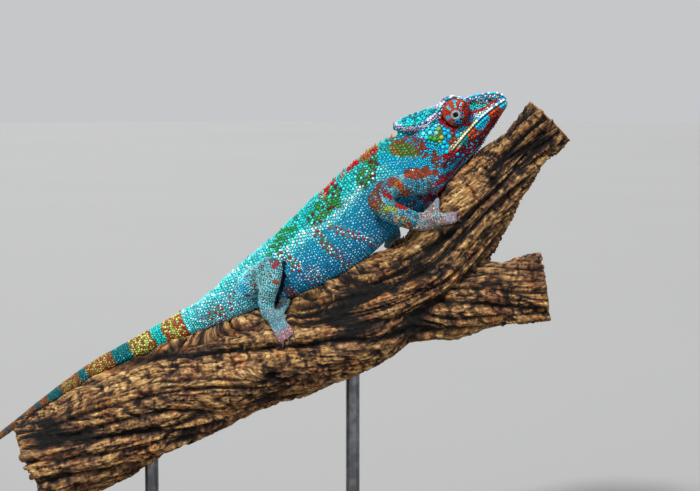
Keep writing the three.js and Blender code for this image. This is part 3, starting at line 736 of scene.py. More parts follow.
# Red spots that keep apart from each other, each beside a pale scale.
spotMarks = [
    ("spot", 0.3, 2.2, [(27, 212), (31.5, 206), (36.5, 201.5), (41, 198.5), (46, 193)]),
    ("spot", 0.3, 2.0, [(34, 216), (40.5, 213.5), (46, 211.5), (52, 210.5), (56, 207.5), (62, 205)]),
    ("spot", 0.3, 2.6, [(8, 199.5), (12.5, 197), (16, 193), (21.5, 191), (28.5, 187)]),
    ("spot", 0.3, 2.0, [(14, 190), (20.5, 186.5), (24.5, 184.5), (28.5, 181.5)]),
    ("spot", 0.3, 1.6, [(-22, 177), (-22.5, 170), (-23.5, 163)]),
    ("spot", 0.3, 4.2, [(-37, 162), (-31, 163), (-28, 167)]),
]
throatMarks = [
    ("cyan", 0.85, 0.95, [(106.2, 252.5), (102.5, 248.9), (96.5, 246.2)]),
    ("red", 0.9, 0.9, [(107.4, 249), (102, 243.8), (94, 240.4)]),
    ("slate", 0.9, 0.95, [(108, 247), (101.5, 241.4), (96, 237.8)]),
    ("red", 0.85, 1.3, [(109.4, 249), (104.5, 241), (97.2, 235), (90, 231)]),
    ("slate", 0.7, 0.8, [(112, 254), (106.6, 246.4)]),
    ("red", 0.5, 2.2, [(118, 262), (112, 254)]),
    ("cyan", 0.45, 1.0, [(117, 260), (111.6, 251.6)]),
]
headMarks = [
    ("turquoise", 1.0, 6.0, casquePath),
    ("teal", 0.3, 6.0, casquePath),
    ("cyan", 0.3, 6.0, casquePath),
    ("slate", 0.9, 4.0, [(75, 267), (82, 268.5), (88, 268)]),
    ("green", 0.96, 4.9, napePath),
    ("olive", 0.66, 5.0, napePath),
    ("rust", 0.62, 3.6, [(86, 267), (88, 261), (87, 256)]),
    ("rust", 0.62, 3.4, [(95, 257.5), (96.5, 253)]),
    ("cyan", 1.0, 3.8, [(88, 271.2), (97, 272)]),
    ("sky", 0.4, 3.4, [(88, 271.2), (97, 272)]),
    ("lime", 0.85, 2.5, [(95, 267.5), (98.5, 267), (98.5, 270.5)]),
    ("green", 0.6, 2.2, [(97.5, 263.5), (93, 267)]),
    ("cyan", 1.0, 3.0, [(102.5, 273), (103.5, 265), (101, 256)]),
    ("rust", 0.9, 1.8, [(106.5, 273.5), (107, 268), (105.5, 264)]),
    ("red", 0.9, 1.9, [(98.5, 281.5), (99, 278), (103, 274.5), (107, 273)]),
    ("red", 1.0, 1.9, [(111.5, 273), (115.5, 275.5), (119, 280)]),
    ("cyan", 1.0, 1.8, [(109, 270.5), (112, 273)]),
    ("deepBlue", 0.9, 2.0, [(117, 278.5), (120, 281)]),
    ("orange", 0.95, 2.0, [(114.5, 288), (121, 289), (128, 289), (135, 290)]),
    ("turquoise", 1.0, 2.0, [(117.5, 286.2), (121, 284.8), (125.5, 286.2)]),
    ("red", 0.95, 1.3, [(116.5, 281.8), (121, 283.2), (127, 286), (133, 289)]),
    ("rust", 1.0, 3.4, chinPath),
    ("orange", 0.5, 3.2, chinPath),
    ("rust", 0.9, 3.4, jawPath),
    ("orange", 0.4, 3.0, jawPath),
    ("darkRed", 0.85, 3.2, [(117, 264), (122, 266.5), (127, 272), (131, 277)]),
    ("cyan", 0.95, 2.9, [(121, 275), (124, 279.5)]),
    ("cyan", 0.8, 1.6, [(132.5, 286.5), (136, 286)]),
    ("teal", 0.95, 1.9, [(113, 268), (111, 263), (110, 260)]),
    ("red", 0.85, 2.2, [(101.5, 256), (105, 258), (108, 262)]),
    ("slate", 0.5, 4.6, [(104, 252), (110, 254), (114, 259)]),
    ("darkRed", 0.72, 4.6, [(104, 252), (110, 254), (114, 259)]),
    ("deepBlue", 0.8, 1.0, [(104, 249), (108, 254), (111, 258)]),
    ("pale", 0.85, 1.4, [(119.5, 280), (125, 283), (131, 286.5), (136, 289.5)]),
    ("cream", 1.0, 1.15, [(103.5, 260.3), (111, 268.6), (119.5, 277.4)]),
    ("cream", 1.0, 0.8, [(108.5, 262.6), (114.3, 270.4), (116, 272.5)]),
    ("lilac", 0.9, 1.5, [(71.6, 275.5), (77, 273), (83, 272.6), (88, 274), (93, 278.5), (98, 280.5)]),
    ("lilac", 0.8, 1.1, [(71.6, 276.5), (80, 283), (90, 285.5), (98, 286)]),
    ("cyan", 1.0, 3.2, browPath),
    ("slate", 0.35, 3.2, browPath),
    ("lilac", 0.35, 3.2, browPath),
    ("pale", 0.22, 3.2, browPath),
    ("rust", 0.6, 0.8, [(78, 271), (87, 270.4)]),
]
# The tail's bands end at these x on its straight part; past them they go on by the last two widths.
tailBands = [(-49, "turquoise"), (-61.4, "straw"), (-67, "turquoise"), (-81.3, "straw"), (-91.4, "teal"),
             (-107, "tan"), (-111, "teal"), (-123, "tan"), (-129.8, "teal"), (-141, "tan"), (-143.8, "teal"),
             (-158, "tan")]
# Marks on a right leg, as for the trunk.
frontLegMarks = [
    ("brown", 0.96, 3.1, upperArmPath),
    ("rust", 0.5, 3.1, upperArmPath),
    ("ochre", 0.2, 2.8, upperArmPath),
    ("orange", 0.3, 2.4, upperArmPath),
    ("brown", 0.96, 2.9, foreArmPath),
    ("rust", 0.5, 2.9, foreArmPath),
    ("orange", 0.36, 2.4, foreArmPath),
    ("olive", 0.14, 2.6, [(70, 242.6), (77.5, 236.6)]),
    ("slate", 0.3, 3.0, [(66, 241), (69, 237), (74, 234)]),
    ("slate", 0.35, 3.0, [(80, 240), (86, 242), (93, 243)]),
    ("brown", 0.7, 4.2, [(62, 240), (59.5, 234.5), (62, 229)]),
    ("rust", 0.3, 3.4, elbowPath),
    ("ochre", 0.14, 3.4, elbowPath),
    ("red", 0.8, 1.6, [(66.5, 236), (69.5, 233)]),
    ("slate", 0.3, 2.6, [(66, 223.5), (72, 222), (80, 222.5)]),
    ("lime", 0.7, 2.3, [(65, 227), (71, 225.6)]),
    ("ochre", 0.25, 2.3, [(65, 227), (71, 225.6)]),
    ("red", 0.85, 1.5, [(73.5, 229.4), (77.5, 227)]),
    ("gold", 0.55, 2.8, [(72.5, 220.5), (78, 218.5), (80, 217)]),
    ("rust", 0.2, 2.8, [(72.5, 220.5), (80, 217)]),
    ("brown", 0.14, 30, [(75, 230), (60, 235)]),
]
hindLegMarks = [
    ("red", 0.7, 1.6, [(2.4, 193.4), (4.4, 195.6)]),
    ("orange", 0.5, 1.2, [(4.6, 200), (6, 195)]),
    ("orange", 0.8, 1.2, [(2.8, 184.6), (4, 183.6)]),
    ("brown", 0.07, 30, [(0, 185), (0, 175)]),
    ("red", 0.012, 30, [(0, 185), (0, 175)]),
]


def blend(first, second, share):
    share = np.asarray(share)[:, None]
    return np.asarray(first) * (1 - share) + np.asarray(second) * share


def applyMarks(colours, points, marks, dice, softly):
    places = seenPlace(points)
    wander = np.stack([lumps(points, 3.2, 5), lumps(points, 3.2, 6)], 1)
    for k, (name, cover, width, path) in enumerate(marks):
        reach = pathDistance(places + wander * min(1.3, 0.35 * width), path)
        inside = 1 - smoothStep(reach, width - 0.4, width + 0.4)
        shown = cover if softly else ((dice * (k * 7.13 + 1.7)) % 1) < cover
        colours = blend(colours, inks[name], inside * shown)
    return colours


def lowness(points):  # 0 on the trunk's back, 1 under its belly
    return np.abs(lines["trunk"].along(points)[1]) / math.pi


def trunkColours(points, dice, softly, glow):
    low = lowness(points)
    colours = blend(inks["turquoise"], inks["cyan"], smoothStep(low, 0.15, 0.45))
    wavy = low + 0.06 * lumps(points, 9, 3)
    colours = blend(colours, inks["deepBlue"], 0.75 * smoothStep(wavy, 0.42, 0.75))
    dark = smoothStep(lumps(points, 3.4, 2), 0.0, 0.6) * (1 - smoothStep(low, 0.3, 0.42))
    colours = blend(colours, inks["teal"], 0.7 * dark * (1 if softly else ((dice * 3.3) % 1 < 0.7)))
    if not softly:
        back = 1 - smoothStep(low, 0.22, 0.36)
        colours = blend(colours, inks["sky"], 0.45 * back * ((dice * 9.7) % 1 < 0.12))
        colours = blend(colours, inks["teal"], 0.6 * back * ((dice * 13.1) % 1 < 0.2))
    rear = smoothStep(-points[:, 0], -12, 14)
    colours = blend(colours, inks["sky"], 0.85 * rear * smoothStep(lumps(points, 7, 9), -0.9, 0.3)
                    * (1 if softly else 0.6 + 0.4 * ((dice * 29.3) % 1)))
    if not softly:
        colours = blend(colours, inks["pale"], 0.6 * rear * ((dice * 31.7) % 1 < 0.26))
    # glow paints large scales paler: partly pale scales, partly a painted highlight
    colours = blend(colours, inks["pale"], glow)
    return applyMarks(colours, points, trunkMarks + throatMarks + spotMarks * softly, dice, softly)


def tailColours(points, dice, softly):
    along, _ = lines["tail"].along(points)
    straight = lines["tail"].points
    ends = [np.argmin(np.abs(straight[:240, 0] - x)) * lines["tail"].step for x, _ in tailBands]
    names = [name for _, name in tailBands]
    width = 9.0
    while ends[-1] < lines["tail"].length + 5:
        names += ["teal", "tan"]
        ends += [ends[-1] + 0.35 * width, ends[-1] + 1.35 * width]
        width = max(4.0, width * 0.9)
    wavy = along + 0.9 * lumps(points, 4, 8)
    band = np.minimum(np.searchsorted(ends, wavy), len(names) - 1)
    colours = np.array([inks[n] for n in names])[band]
    starts = np.concatenate([[-9], ends])
    edge = np.minimum(wavy - starts[band], starts[band + 1] - wavy)
    warm = np.isin(band, [k for k, n in enumerate(names) if n in ("straw", "tan")])
    spot = 0.4 + 0.34 * (edge < 2.0) + 0.1 * (band > 4) + 0.14 * (band > 8)
    shown = 0.5 * spot if softly else ((dice * 5.31) % 1) < spot
    colours = blend(colours, blend(inks["red"], inks["umber"], smoothStep(along, 20, 50)), warm * shown)
    colours = blend(colours, inks["lime"], 0.5 * warm * ((dice * 17.7) % 1 < 0.3))
    colours = blend(colours, inks["sky"], 0.85 * (band == 0) * smoothStep(lumps(points, 4, 4), -0.8, 0.1))
    colours = blend(colours, inks["pale"], 0.7 * (band == 0) * ((dice * 31.7) % 1 < 0.32))
    colours = blend(colours, inks["sky"], 0.45 * ((dice * 23.1) % 1 < 0.2) * np.isin(band, (0, 2, 4, 6, 8)))
    colours = blend(colours, inks["brown"], 0.3 * smoothStep(along, 90, 150) * np.isin(band, range(5, 99)))
    return colours if softly else applyMarks(colours, points, trunkMarks, dice, softly)


def headColours(points, dice, softly):
    _, up = headPlace(points)
    colours = blend(inks["cyan"], inks["slate"], smoothStep(lumps(points, 5, 2), 0, 0.6))
    # the head turns dark red towards its underside: partly the throat's own red, partly painted shade under
    # the head
    colours = blend(colours, inks["darkRed"], smoothStep(-up, 10, 17) * 0.9)
    return applyMarks(colours, points, headMarks + throatMarks, dice, softly)


def asRight(points, leg):  # the same places on the right leg
    if leg.endswith("right"):
        return points
    line, other = lines[leg], lines[leg.replace("left", "right")]
    index = np.array([line.tree.find(p)[1] for p in points.tolist()], int)
    away = points - line.points[index]
    match = (index * (len(other.points) - 1) / (len(line.points) - 1)).astype(int)
    return (other.points[match] + (away * line.tangents[index]).sum(1)[:, None] * other.tangents[match]
            + (away * line.ups[index]).sum(1)[:, None] * other.ups[match]
            - (away * line.sides[index]).sum(1)[:, None] * other.sides[match])


def legColours(points, dice, softly, glow, leg):
    front = "front" in leg
    line = lines[leg]
    share = line.along(points)[0] / line.length + 0.04 * lumps(points, 4, 17)
    hip = 1 - smoothStep(share, *((0.05, 0.2) if front else (0.14, 0.28)))
    cloudy = 0.8 * smoothStep(lumps(points, 4, 7), -0.2, 0.6)
    colours = blend(inks["arm" if front else "leg"], inks["teal"], cloudy)
    # glow paints large scales paler: partly pale scales, partly a painted highlight
    colours = blend(colours, inks["pale"], glow)
    colours = blend(colours, trunkColours(points, dice, softly, glow), hip)
    marks = frontLegMarks if front else hindLegMarks
    return applyMarks(colours, asRight(points, leg), marks, dice, softly)


def footColours(points, dice, softly, leg):
    warm = leg == "front_right_foot"
    first, second = (inks["foot"], inks["warm"]) if warm else (inks["leg"], inks["foot"])
    colours = blend(first, second, smoothStep(lumps(points, 3, 7), -0.6, 0.3))
    toes = smoothStep(lines[leg].along(points)[0] / lines[leg].length, 0.62, 0.9)
    for name, cover in (("ochre", 0.2 if warm else 0.03), ("pink", 0.24 if warm else 0.12), ("cyan", 0.2),
                        ("pale", 0.14), ("brown", 0.1)):
        share = np.full(len(points), cover) if softly else ((dice * (len(name) + 4.37)) % 1) < cover
        colours = blend(colours, inks[name], share * 0.8)
    colours = blend(colours, inks["lilac"] if warm else inks["pink"], (0.3 if warm else 0.6) * toes)
    return colours


def coloursAt(points, region, dice, softly=False, glow=None):
    colours = np.zeros((len(points), 3))
    glow = np.zeros(len(points)) if glow is None else glow
    for k, name in enumerate(regionNames):
        here = region == k
        if not here.any():
            continue
        given = (points[here], dice[here], softly)
        if name == "head":
            colours[here] = headColours(*given)
        elif name == "trunk":
            colours[here] = trunkColours(*given, glow[here])
        elif name == "tail":
            colours[here] = tailColours(*given)
        elif name.endswith("foot"):
            colours[here] = footColours(*given, name)
        else:
            colours[here] = legColours(*given, glow[here], name)
    return colours


def skinFinish():
    finish = Finish("chameleon_skin", Specular_IOR_Level=0.15)
    place = finish.place()
    cells = {"Vector": place, "Scale": 1250.0}
    grains = finish.node("ShaderNodeTexVoronoi", {"feature": "DISTANCE_TO_EDGE"}, cells)
    groove = 1 - grains.between(0.02, 0.22)
    tint = finish.attribute("markings")
    # painted shade: the skin's colour is darkened in the grooves between its fine grains
    dark = finish.mix(groove * 0.75, tint, (0.01, 0.015, 0.03))
    cloudy = finish.noise(place, 420.0)
    colour = finish.mix(cloudy * 0.3, dark, (0.02, 0.05, 0.12))
    normal = finish.bump(1 - groove, 0.6, 0.0003)
    return finish.feed(Base_Color=colour, Normal=normal, Roughness=0.5 + cloudy * 0.25)


def makeSkin():
    skin = meshObject("chameleon_skin", skinPoints, skinTris, skinFinish())
    dice = np.full(len(skinPoints), 0.5)
    colours = coloursAt(skinPoints, skinRegion, dice, softly=True)
    # painted shade: the skin's markings are darkened where it shows between the scales
    shade = bySort(skinSizes["shade"])[skinRegion]
    setColours(skin, "markings", colours * shade[:, None])
    finished(skin, "skin", *fleshNodes)


makeSkin()
print("stage: skin markings")

# The scales: small domes of mesh whose open feet lie under the skin, each with its own ink.

coat = {
    "sink": 0.14,          # how far a scale's foot lies under the skin
    "paintedFootShade": 0.16,       # painted shade: how dark a scale's foot is painted beside its middle
    "paintedRimShade": 0.92,       # and its lowest ring over that, also painted shade
    "spot": 1.34,          # how much wider the flank's red scales are than their neighbours
    "apart": 2.7,          # and how far they keep from each other
    "beside": 2.2,         # how near a scale lies that is made pale beside one
    "patch": 0.0014,       # half the width of a scale's patch on the unwrap
    "most": 190000,        # triangles in one piece
}
# The two forms: how many sides, then its rings as shares of its radius and height, up to its top.
scaleForms = {"bead": (6, [(1.0, 0.0), (0.86, 0.62), (0.45, 0.95)]), "grain": (6, [(1.0, 0.0), (0.6, 0.8)]),
              "cone": (7, [(1.0, 0.0), (0.72, 0.4), (0.36, 0.78)])}


class Scales:  # the scales laid so far: parallel arrays, one row for each
    def __init__(self):
        self.rows = []

    def add(self, place, normal, lie, radius, height, form, lean=0.0, narrow=1.0):
        n = len(place)
        full = [np.broadcast_to(np.asarray(v, float), n) for v in (radius, height, lean, narrow)]
        self.rows.append((place, normal, lie, *full, np.full(n, list(scaleForms).index(form))))

    def joined(self):
        return [np.concatenate(column) for column in zip(*self.rows)]


scales = Scales()


def onSkin(points):  # the nearest places on the skin, with its smooth normals and regions
    found = [skinFinder.find_nearest(p) for p in points.tolist()]
    places = np.array([f[0][:] for f in found])
    corners = skinTris[[f[2] for f in found]]
    gaps = np.linalg.norm(skinPoints[corners] - places[:, None], axis=2)
    share = 1 / np.maximum(gaps, 1e-4)
    share /= share.sum(1, keepdims=True)
    normals = unit((skinNormals[corners] * share[:, :, None]).sum(1))
    return places, normals, skinRegion[corners[:, 0]]


def lieAlong(line, places, normals):  # the body's own direction, laid flat on the skin
    index = np.array([line.tree.find(p)[1] for p in places.tolist()], int)
    ways = line.tangents[index]
    return unit(ways - (ways * normals).sum(1)[:, None] * normals)


def rowsAround(line, pitch, rays):  # places in staggered rings round a length of body
    turns = np.linspace(0, 2 * math.pi, rays, endpoint=False)
    found = []
    for k, s in enumerate(np.arange(0.5 * pitch, line.length, 0.87 * pitch)):
        i = min(int(s / line.step), len(line.points) - 1)
        ways = np.cos(turns)[:, None] * line.ups[i] + np.sin(turns)[:, None] * line.sides[i]
        hits = [skinFinder.ray_cast(line.points[i], way, 60) for way in ways]
        ring = np.array([h[0][:] for h in hits if h[0] is not None])
        if len(ring) < rays // 2:
            continue
        ring = np.vstack([ring, ring[:1]])
        reach = np.concatenate([[0], np.cumsum(np.linalg.norm(np.diff(ring, axis=0), axis=1))])
        count = max(5, round(reach[-1] / pitch))
        at = ((np.arange(count) + 0.5 * (k % 2) + chance.uniform(-0.13, 0.13, count)) / count % 1) * reach[-1]
        found.append(np.stack([np.interp(at, reach, ring[:, axis]) for axis in range(3)], 1))
    return onSkin(np.vstack(found) + chance.uniform(-0.13, 0.13, (sum(map(len, found)), 3)) * pitch)


rowSizes = {  # distance between scales, and rays round the body to find the skin
    "trunk": (1.95, 150), "tail": (1.5, 60),
    **{leg: (1.46, 60) for leg in legs},
}


def layRows():
    for name, (pitch, rays) in rowSizes.items():
        places, normals, region = rowsAround(lines[name], pitch, rays)
        kept = isIn(region, name)
        if name == "tail":
            size = np.clip(np.abs(places[:, 0] + 200) / 120, 0.55, 1)
            radius = 0.43 * pitch * size
        elif name == "trunk":
            low = lowness(places)
            radius = 0.87 - 0.29 * smoothStep(low, 0.2, 0.42) - 0.05 * smoothStep(low, 0.8, 1)
            radius = radius * chance.uniform(0.82, 1.14, len(kept))
        else:
            radius = np.full(len(kept), 0.42 * pitch)
        radius = radius * chance.uniform(0.88, 1.1, len(kept))
        lie = lieAlong(lines[name], places, normals)
        full = (places[kept], normals[kept], lie[kept], radius[kept], 0.62 * radius[kept])
        scales.add(*full, "bead", narrow=0.94)


headRows = {
    # spacing, radius, height, stations (back, out, up)
    "crest": (1.75, 0.98, 0.75, crestStations),
    "casqueTop": (1.9, 0.9, 0.8, [(24, 0, 16.2), (31, 0, 20), (42, 0, 23), (54, 0, 25.6), (60, 0, 25)]),
    "snoutTop": (1.7, 0.8, 0.55, [(2, 2.4, 7), (10, 3, 9.6), (20, 4, 13.4)]),
}


def layHeadRows():
    for spacing, radius, height, stations in headRows.values():
        paired = stations[0][1] > 0  # a row off the middle has its like on the other side
        for side in (-1, 1) if paired else (-1,):
            places = curve([headPoint(b, side * o, u) for b, o, u in stations], spacing)
            at, normals, _ = onSkin(places + np.array((0, side * 1.1, 1.4)) * paired)
            lie = lieAlong(lines["head"], at, normals)
            size = radius * chance.uniform(0.88, 1.12, len(at))
            scales.add(at, normals, lie, size, height * size, "bead", narrow=0.85)


def layLips():  # two rows of plates along the mouth
    path = curve([(b, 0, u) for b, u in mouthLine], 1.65)
    for side, offset in itertools.product((-1, 1), (-1.2, 1.2)):
        aim = np.array([headPoint(b, side * 16, u + offset) for b, _, u in path])
        hits = [skinFinder.ray_cast(p, (0, -side, 0.0), 16) for p in aim]
        places = np.array([h[0][:] for h in hits if h[0] is not None])
        at, normals, _ = onSkin(places)
        lie = lieAlong(lines["head"], at, normals)
        scales.add(at, normals, lie, 1.05, 0.5, "bead", narrow=0.86)


backRidge = np.array([(70, 0, 270), (60, 0, 262.5), (47.5, 0, 253), (35, 0, 242), (23, 0, 231),
                      (11.5, 0, 220), (0, 0, 209.5), (-11.5, 0, 200), (-21.5, 0, 191.5), (-36.5, 0, 177),
                      (-54, 0.4, 164.6)])
# Cones along the back's ridge and under the throat: spacing, radius, height at its start and end, way out,
# and stations.
spines = {
    "back": (1.95, 1.0, (3.1, 1.3), (0, 0, 1), backRidge),
    "backRight": (1.75, 0.9, (1.9, 0.9), (0, -0.45, 1), backRidge - (0, 1.7, 0.4)),
    "backLeft": (1.75, 0.9, (1.9, 0.9), (0, 0.45, 1), backRidge + (0, 1.7, -0.4)),
    "throat": (1.5, 0.62, (0.8, 1.3), (0, 0, -1),
               [headPoint(b, 0, u) for b, u in ((4, -5), (14, -9.4), (26, -15), (38, -19), (50, -22.6))]),
}


def laySpines():
    for spacing, radius, (first, last), way, stations in spines.values():
        path = curve(stations, spacing)
        aim = path + np.array(way) * 8.0
        at, normals, _ = onSkin(path + np.array(way) * 1.5)
        share = np.linspace(0, 1, len(at))
        height = (first + (last - first) * share) * chance.uniform(0.6, 1.25, len(at))
        outward = unit(aim - path + normals * 4)
        lie = -lieAlong(lines["trunk"], at, outward)
        wide = radius * (0.7 + 0.3 * height / max(first, last))
        scales.add(at, outward, lie, wide, height, "cone", lean=0.35)


layRows()
layHeadRows()
layLips()
laySpines()
print("stage: rows of scales,", sum(len(r[0]) for r in scales.rows))

fillSizes = {
    "many": 420000,      # places tried
    "tight": 1.64,       # distance between neighbours, in radii
    "near": 0.86,        # and to the scales laid before, as a share of both radii
    "radius": {"trunk": 0.42, "tail": 0.36, "head": 0.62, "limb": 0.4, "foot": 0.46},
    "casque": 1.15,      # radius on the casque, and on temple and cheek
    "temple": 1.46,
    "small": 0.46,       # the largest radius of the second round, which fills gaps left on the head
}


def skinSamples(count):  # places spread evenly over the skin
    corners = skinPoints[skinTris]
    area = np.linalg.norm(np.cross(corners[:, 1] - corners[:, 0], corners[:, 2] - corners[:, 0]), axis=1)
    pick = np.sort(chance.choice(len(area), count, p=area / area.sum()))
    a, b = chance.uniform(0, 1, (2, count))
    fold = a + b > 1
    a[fold], b[fold] = 1 - a[fold], 1 - b[fold]
    share = np.stack([1 - a - b, a, b], 1)[:, :, None]
    places = (corners[pick] * share).sum(1)
    normals = unit((skinNormals[skinTris[pick]] * share).sum(1))
    return places, normals, skinRegion[skinTris[pick, 0]]


def fillRadius(places, region):
    back, up = headPlace(places)
    radius = bySort(fillSizes["radius"])[region]
    spots = np.stack([back, up], 1)
    isHead = isIn(region, "head")
    casque = smoothStep(up - np.interp(back, [24, 32, 60], [16, 13.5, 21]), 0, 1.5) * (back > 25)
    temple = 1 - smoothStep(pathDistance(spots, [(46, 9), (41, 7), (37.5, 3), (40, -3)]), 3.0, 5.4)
    cheek = 1 - smoothStep(pathDistance(spots, [(33, -2), (36, -8)]), 2.5, 4.5)
    head = radius + (fillSizes["casque"] - radius) * casque
    head = head + (fillSizes["temple"] - head) * np.maximum(temple, cheek) * (casque < 0.3)
    throat = smoothStep(-up, 8, 14)
    head = head - 0.14 * throat * (head < 0.7)
    return np.where(isHead, head, radius) * (1 + 0.16 * lumps(places, 6, 21))


def fillIn(most):  # lays scales of the skin's own sizes, none larger than most, where there is still room
    places, normals, region = skinSamples(fillSizes["many"])
    radius = np.minimum(fillRadius(places, region), most)
    back, up = headPlace(places)
    spots = np.stack([back, up], 1)
    isHead = isIn(region, "head")
    free = ~(isHead & (pathDistance(spots, mouthLine) < 0.5) & (np.abs(places[:, 1]) > 1.5))
    socket = np.linalg.norm(spots - (eye["back"], eye["up"]), axis=1)
    free &= ~(isHead & (socket < 7.7) & (np.abs(places[:, 1]) > 6))
    free &= ~(isHead & (np.linalg.norm(spots - nostril["place"], axis=1) < 1.0) & (np.abs(places[:, 1]) > 2))
    free &= isHead | (most > 1)
    tree = treeOf(places)
    laid, _, _, laidRadius, *_ = scales.joined()
    for p, r in zip(laid.tolist(), laidRadius):
        for _, i, gap in tree.find_range(p, r + min(most, 1.2)):
            if gap < fillSizes["near"] * (r + 0.9 * radius[i]):
                free[i] = False
    order = np.lexsort((chance.uniform(0, 1, len(places)), -np.round(radius, 1)))
    chosen = []
    for i in order.tolist():
        if free[i]:
            chosen.append(i)
            for _, j, gap in tree.find_range(places[i], fillSizes["tight"] * radius[i]):
                free[j] = False
    places, normals, region, radius = (values[chosen] for values in (places, normals, region, radius))
    lie = np.zeros((len(chosen), 3))
    for k, name in enumerate(regionNames):
        here = region == k
        lie[here] = lieAlong(lines[name], places[here], normals[here])
    size = radius * chance.uniform(0.92, 1.12, len(chosen))
    for part, form, height in ((size > 0.5, "bead", 0.5), (size <= 0.5, "grain", 0.62)):
        full = (places[part], normals[part], lie[part], size[part], height * size[part])
        scales.add(*full, form, narrow=0.92)


fillIn(9.0)
fillIn(fillSizes["small"])
print("stage: all scales,", sum(len(r[0]) for r in scales.rows))


def unwrapAt(line, places):  # where a place lies on its length's own unwrap, from 0 to 1
    along, turn = line.along(places)
    first, last = along.min(), along.max()
    return np.stack([(along - first) / max(last - first, 1e-6), turn / (2 * math.pi) + 0.5], 1) * 0.98 + 0.01


def scaleMesh(name, rows, colours, unwrap, finish, slot="skin"):
    place, normal, lie, radius, height, lean, narrow, form = rows
    points, faces, uvs, tints, start = [], {3: [], 4: []}, [], [], 0
    cross = np.cross(normal, lie)
    for index, (sides, rings) in enumerate(scaleForms.values()):
        f = form == index
        n = int(f.sum())
        if not n:
            continue
        turns = np.linspace(0, 2 * math.pi, sides, endpoint=False)
        circle = np.stack([np.cos(turns), np.sin(turns)], 1)
        stack, flat, tint = [], [], []
        for k, (wide, high) in enumerate([*rings, (0.0, 1.0)]):
            around = circle * wide if wide else np.zeros((1, 2))
            flatPart = (around[None, :, 0, None] * lie[f][:, None]
                        + around[None, :, 1, None] * cross[f][:, None] * narrow[f][:, None, None])
            rise = high * height[f] - (coat["sink"] if k == 0 else 0)
            shift = lie[f] * (lean[f] * height[f] * high**1.5)[:, None]
            stack.append(place[f][:, None] + flatPart * radius[f][:, None, None]
                         + (normal[f] * rise[:, None] + shift)[:, None])
            flat.append(unwrap[f][:, None] + np.broadcast_to(around * coat["patch"], (n, len(around), 2)))
            # painted shade: each scale's foot and lowest ring are darkened, as if shaded in the gaps
            light = {0: coat["paintedFootShade"], 1: coat["paintedRimShade"]}.get(k, 1.0)
            tint.append(np.broadcast_to(colours[f][:, None] * light, (n, len(around), 3)))
        per = sum(s.shape[1] for s in stack)
        points.append(np.concatenate(stack, 1).reshape(-1, 3))
        uvs.append(np.concatenate(flat, 1).reshape(-1, 2))
        tints.append(np.concatenate(tint, 1).reshape(-1, 3))
        base = start + np.arange(n)[:, None, None] * per
        i, j = np.arange(sides), (np.arange(sides) + 1) % sides
        last = (len(rings) - 1) * sides
        for k in range(0, last, sides):
            quad = np.stack([k + i, k + j, k + sides + j, k + sides + i], 1)
            faces[4].append((base + quad[None]).reshape(-1, 4))
        top = np.stack([last + i, last + j, np.full(sides, per - 1)], 1)
        faces[3].append((base + top[None]).reshape(-1, 3))
        start += n * per
    groups = [np.concatenate(faces[k]) for k in (3, 4) if faces[k]]
    piece = meshObject(name, np.concatenate(points), groups, finish)
    layer = piece.data.uv_layers.new(name="OFBake")
    uv = np.concatenate(uvs)[np.concatenate([g.ravel() for g in groups])]
    layer.data.foreach_set("uv", uv.astype(np.float32).ravel())
    setColours(piece, "markings", np.concatenate(tints))
    return finished(piece, slot)


def triangleCount(form):
    cost = np.array([sides * (2 * (len(rings) - 1) + 1) for sides, rings in scaleForms.values()])
    return cost[form]


def scaleFinish():
    finish = Finish("chameleon_scales", Specular_IOR_Level=0.14, Coat_Roughness=0.2)
    place = finish.place()
    tint = finish.attribute("markings")
    mottle = finish.noise(place, 900.0, 2.0)
    colour = finish.mix(mottle.between(0.4, 0.7) * 0.2, tint, (0.62, 0.62, 0.62), "SOFT_LIGHT")
    fine = finish.noise(place, 4200.0, 2.0)
    normal = finish.bump(fine, 0.25, 0.0002)
    return finish.feed(Base_Color=colour, Roughness=0.3 + mottle * 0.2, Normal=normal,
                       Coat_Weight=0.01 + fine * 0.06)


def paleAndHighlight(places, region, radius, form):  # how pale plain scales are: large ones stand out; partly pale scales, partly a painted highlight
    low = lowness(places)
    bead = (radius > 0.5) * (form == 0)
    trunk = bead * isIn(region, "trunk")
    spread = smoothStep(lumps(places, 2.4, 31), -0.7, 0.5)
    ahead = 1 - 0.6 * smoothStep(places[:, 0], 56, 72)
    glow = trunk * (0.04 + 0.36 * smoothStep(low, 0.2, 0.4)) * spread * ahead
    glow += 0.22 * bead * isIn(region, *legs) * spread
    return glow


def chooseSpots(places, fit):  # which of the fitting scales are spots, and which lie beside one
    seen = seenPlace(places)
    near = np.zeros(len(places), bool)
    for _, _, width, path in spotMarks:
        near |= pathDistance(seen, path) < width
    chosen = np.flatnonzero(near & fit)
    chosen = chosen[chance.permutation(len(chosen))]
    tree = treeOf(places[chosen])
    isSpot, beside, closed = np.zeros((3, len(places)), bool)
    for i in chosen.tolist():
        if not closed[i]:
            isSpot[i] = True
            around = tree.find_range(places[i].tolist(), coat["apart"])
            closed[[chosen[j] for _, j, _ in around]] = True
            beside[[chosen[j] for _, j, gap in around if gap < coat["beside"]][:2]] = True
    return isSpot, beside & ~isSpot


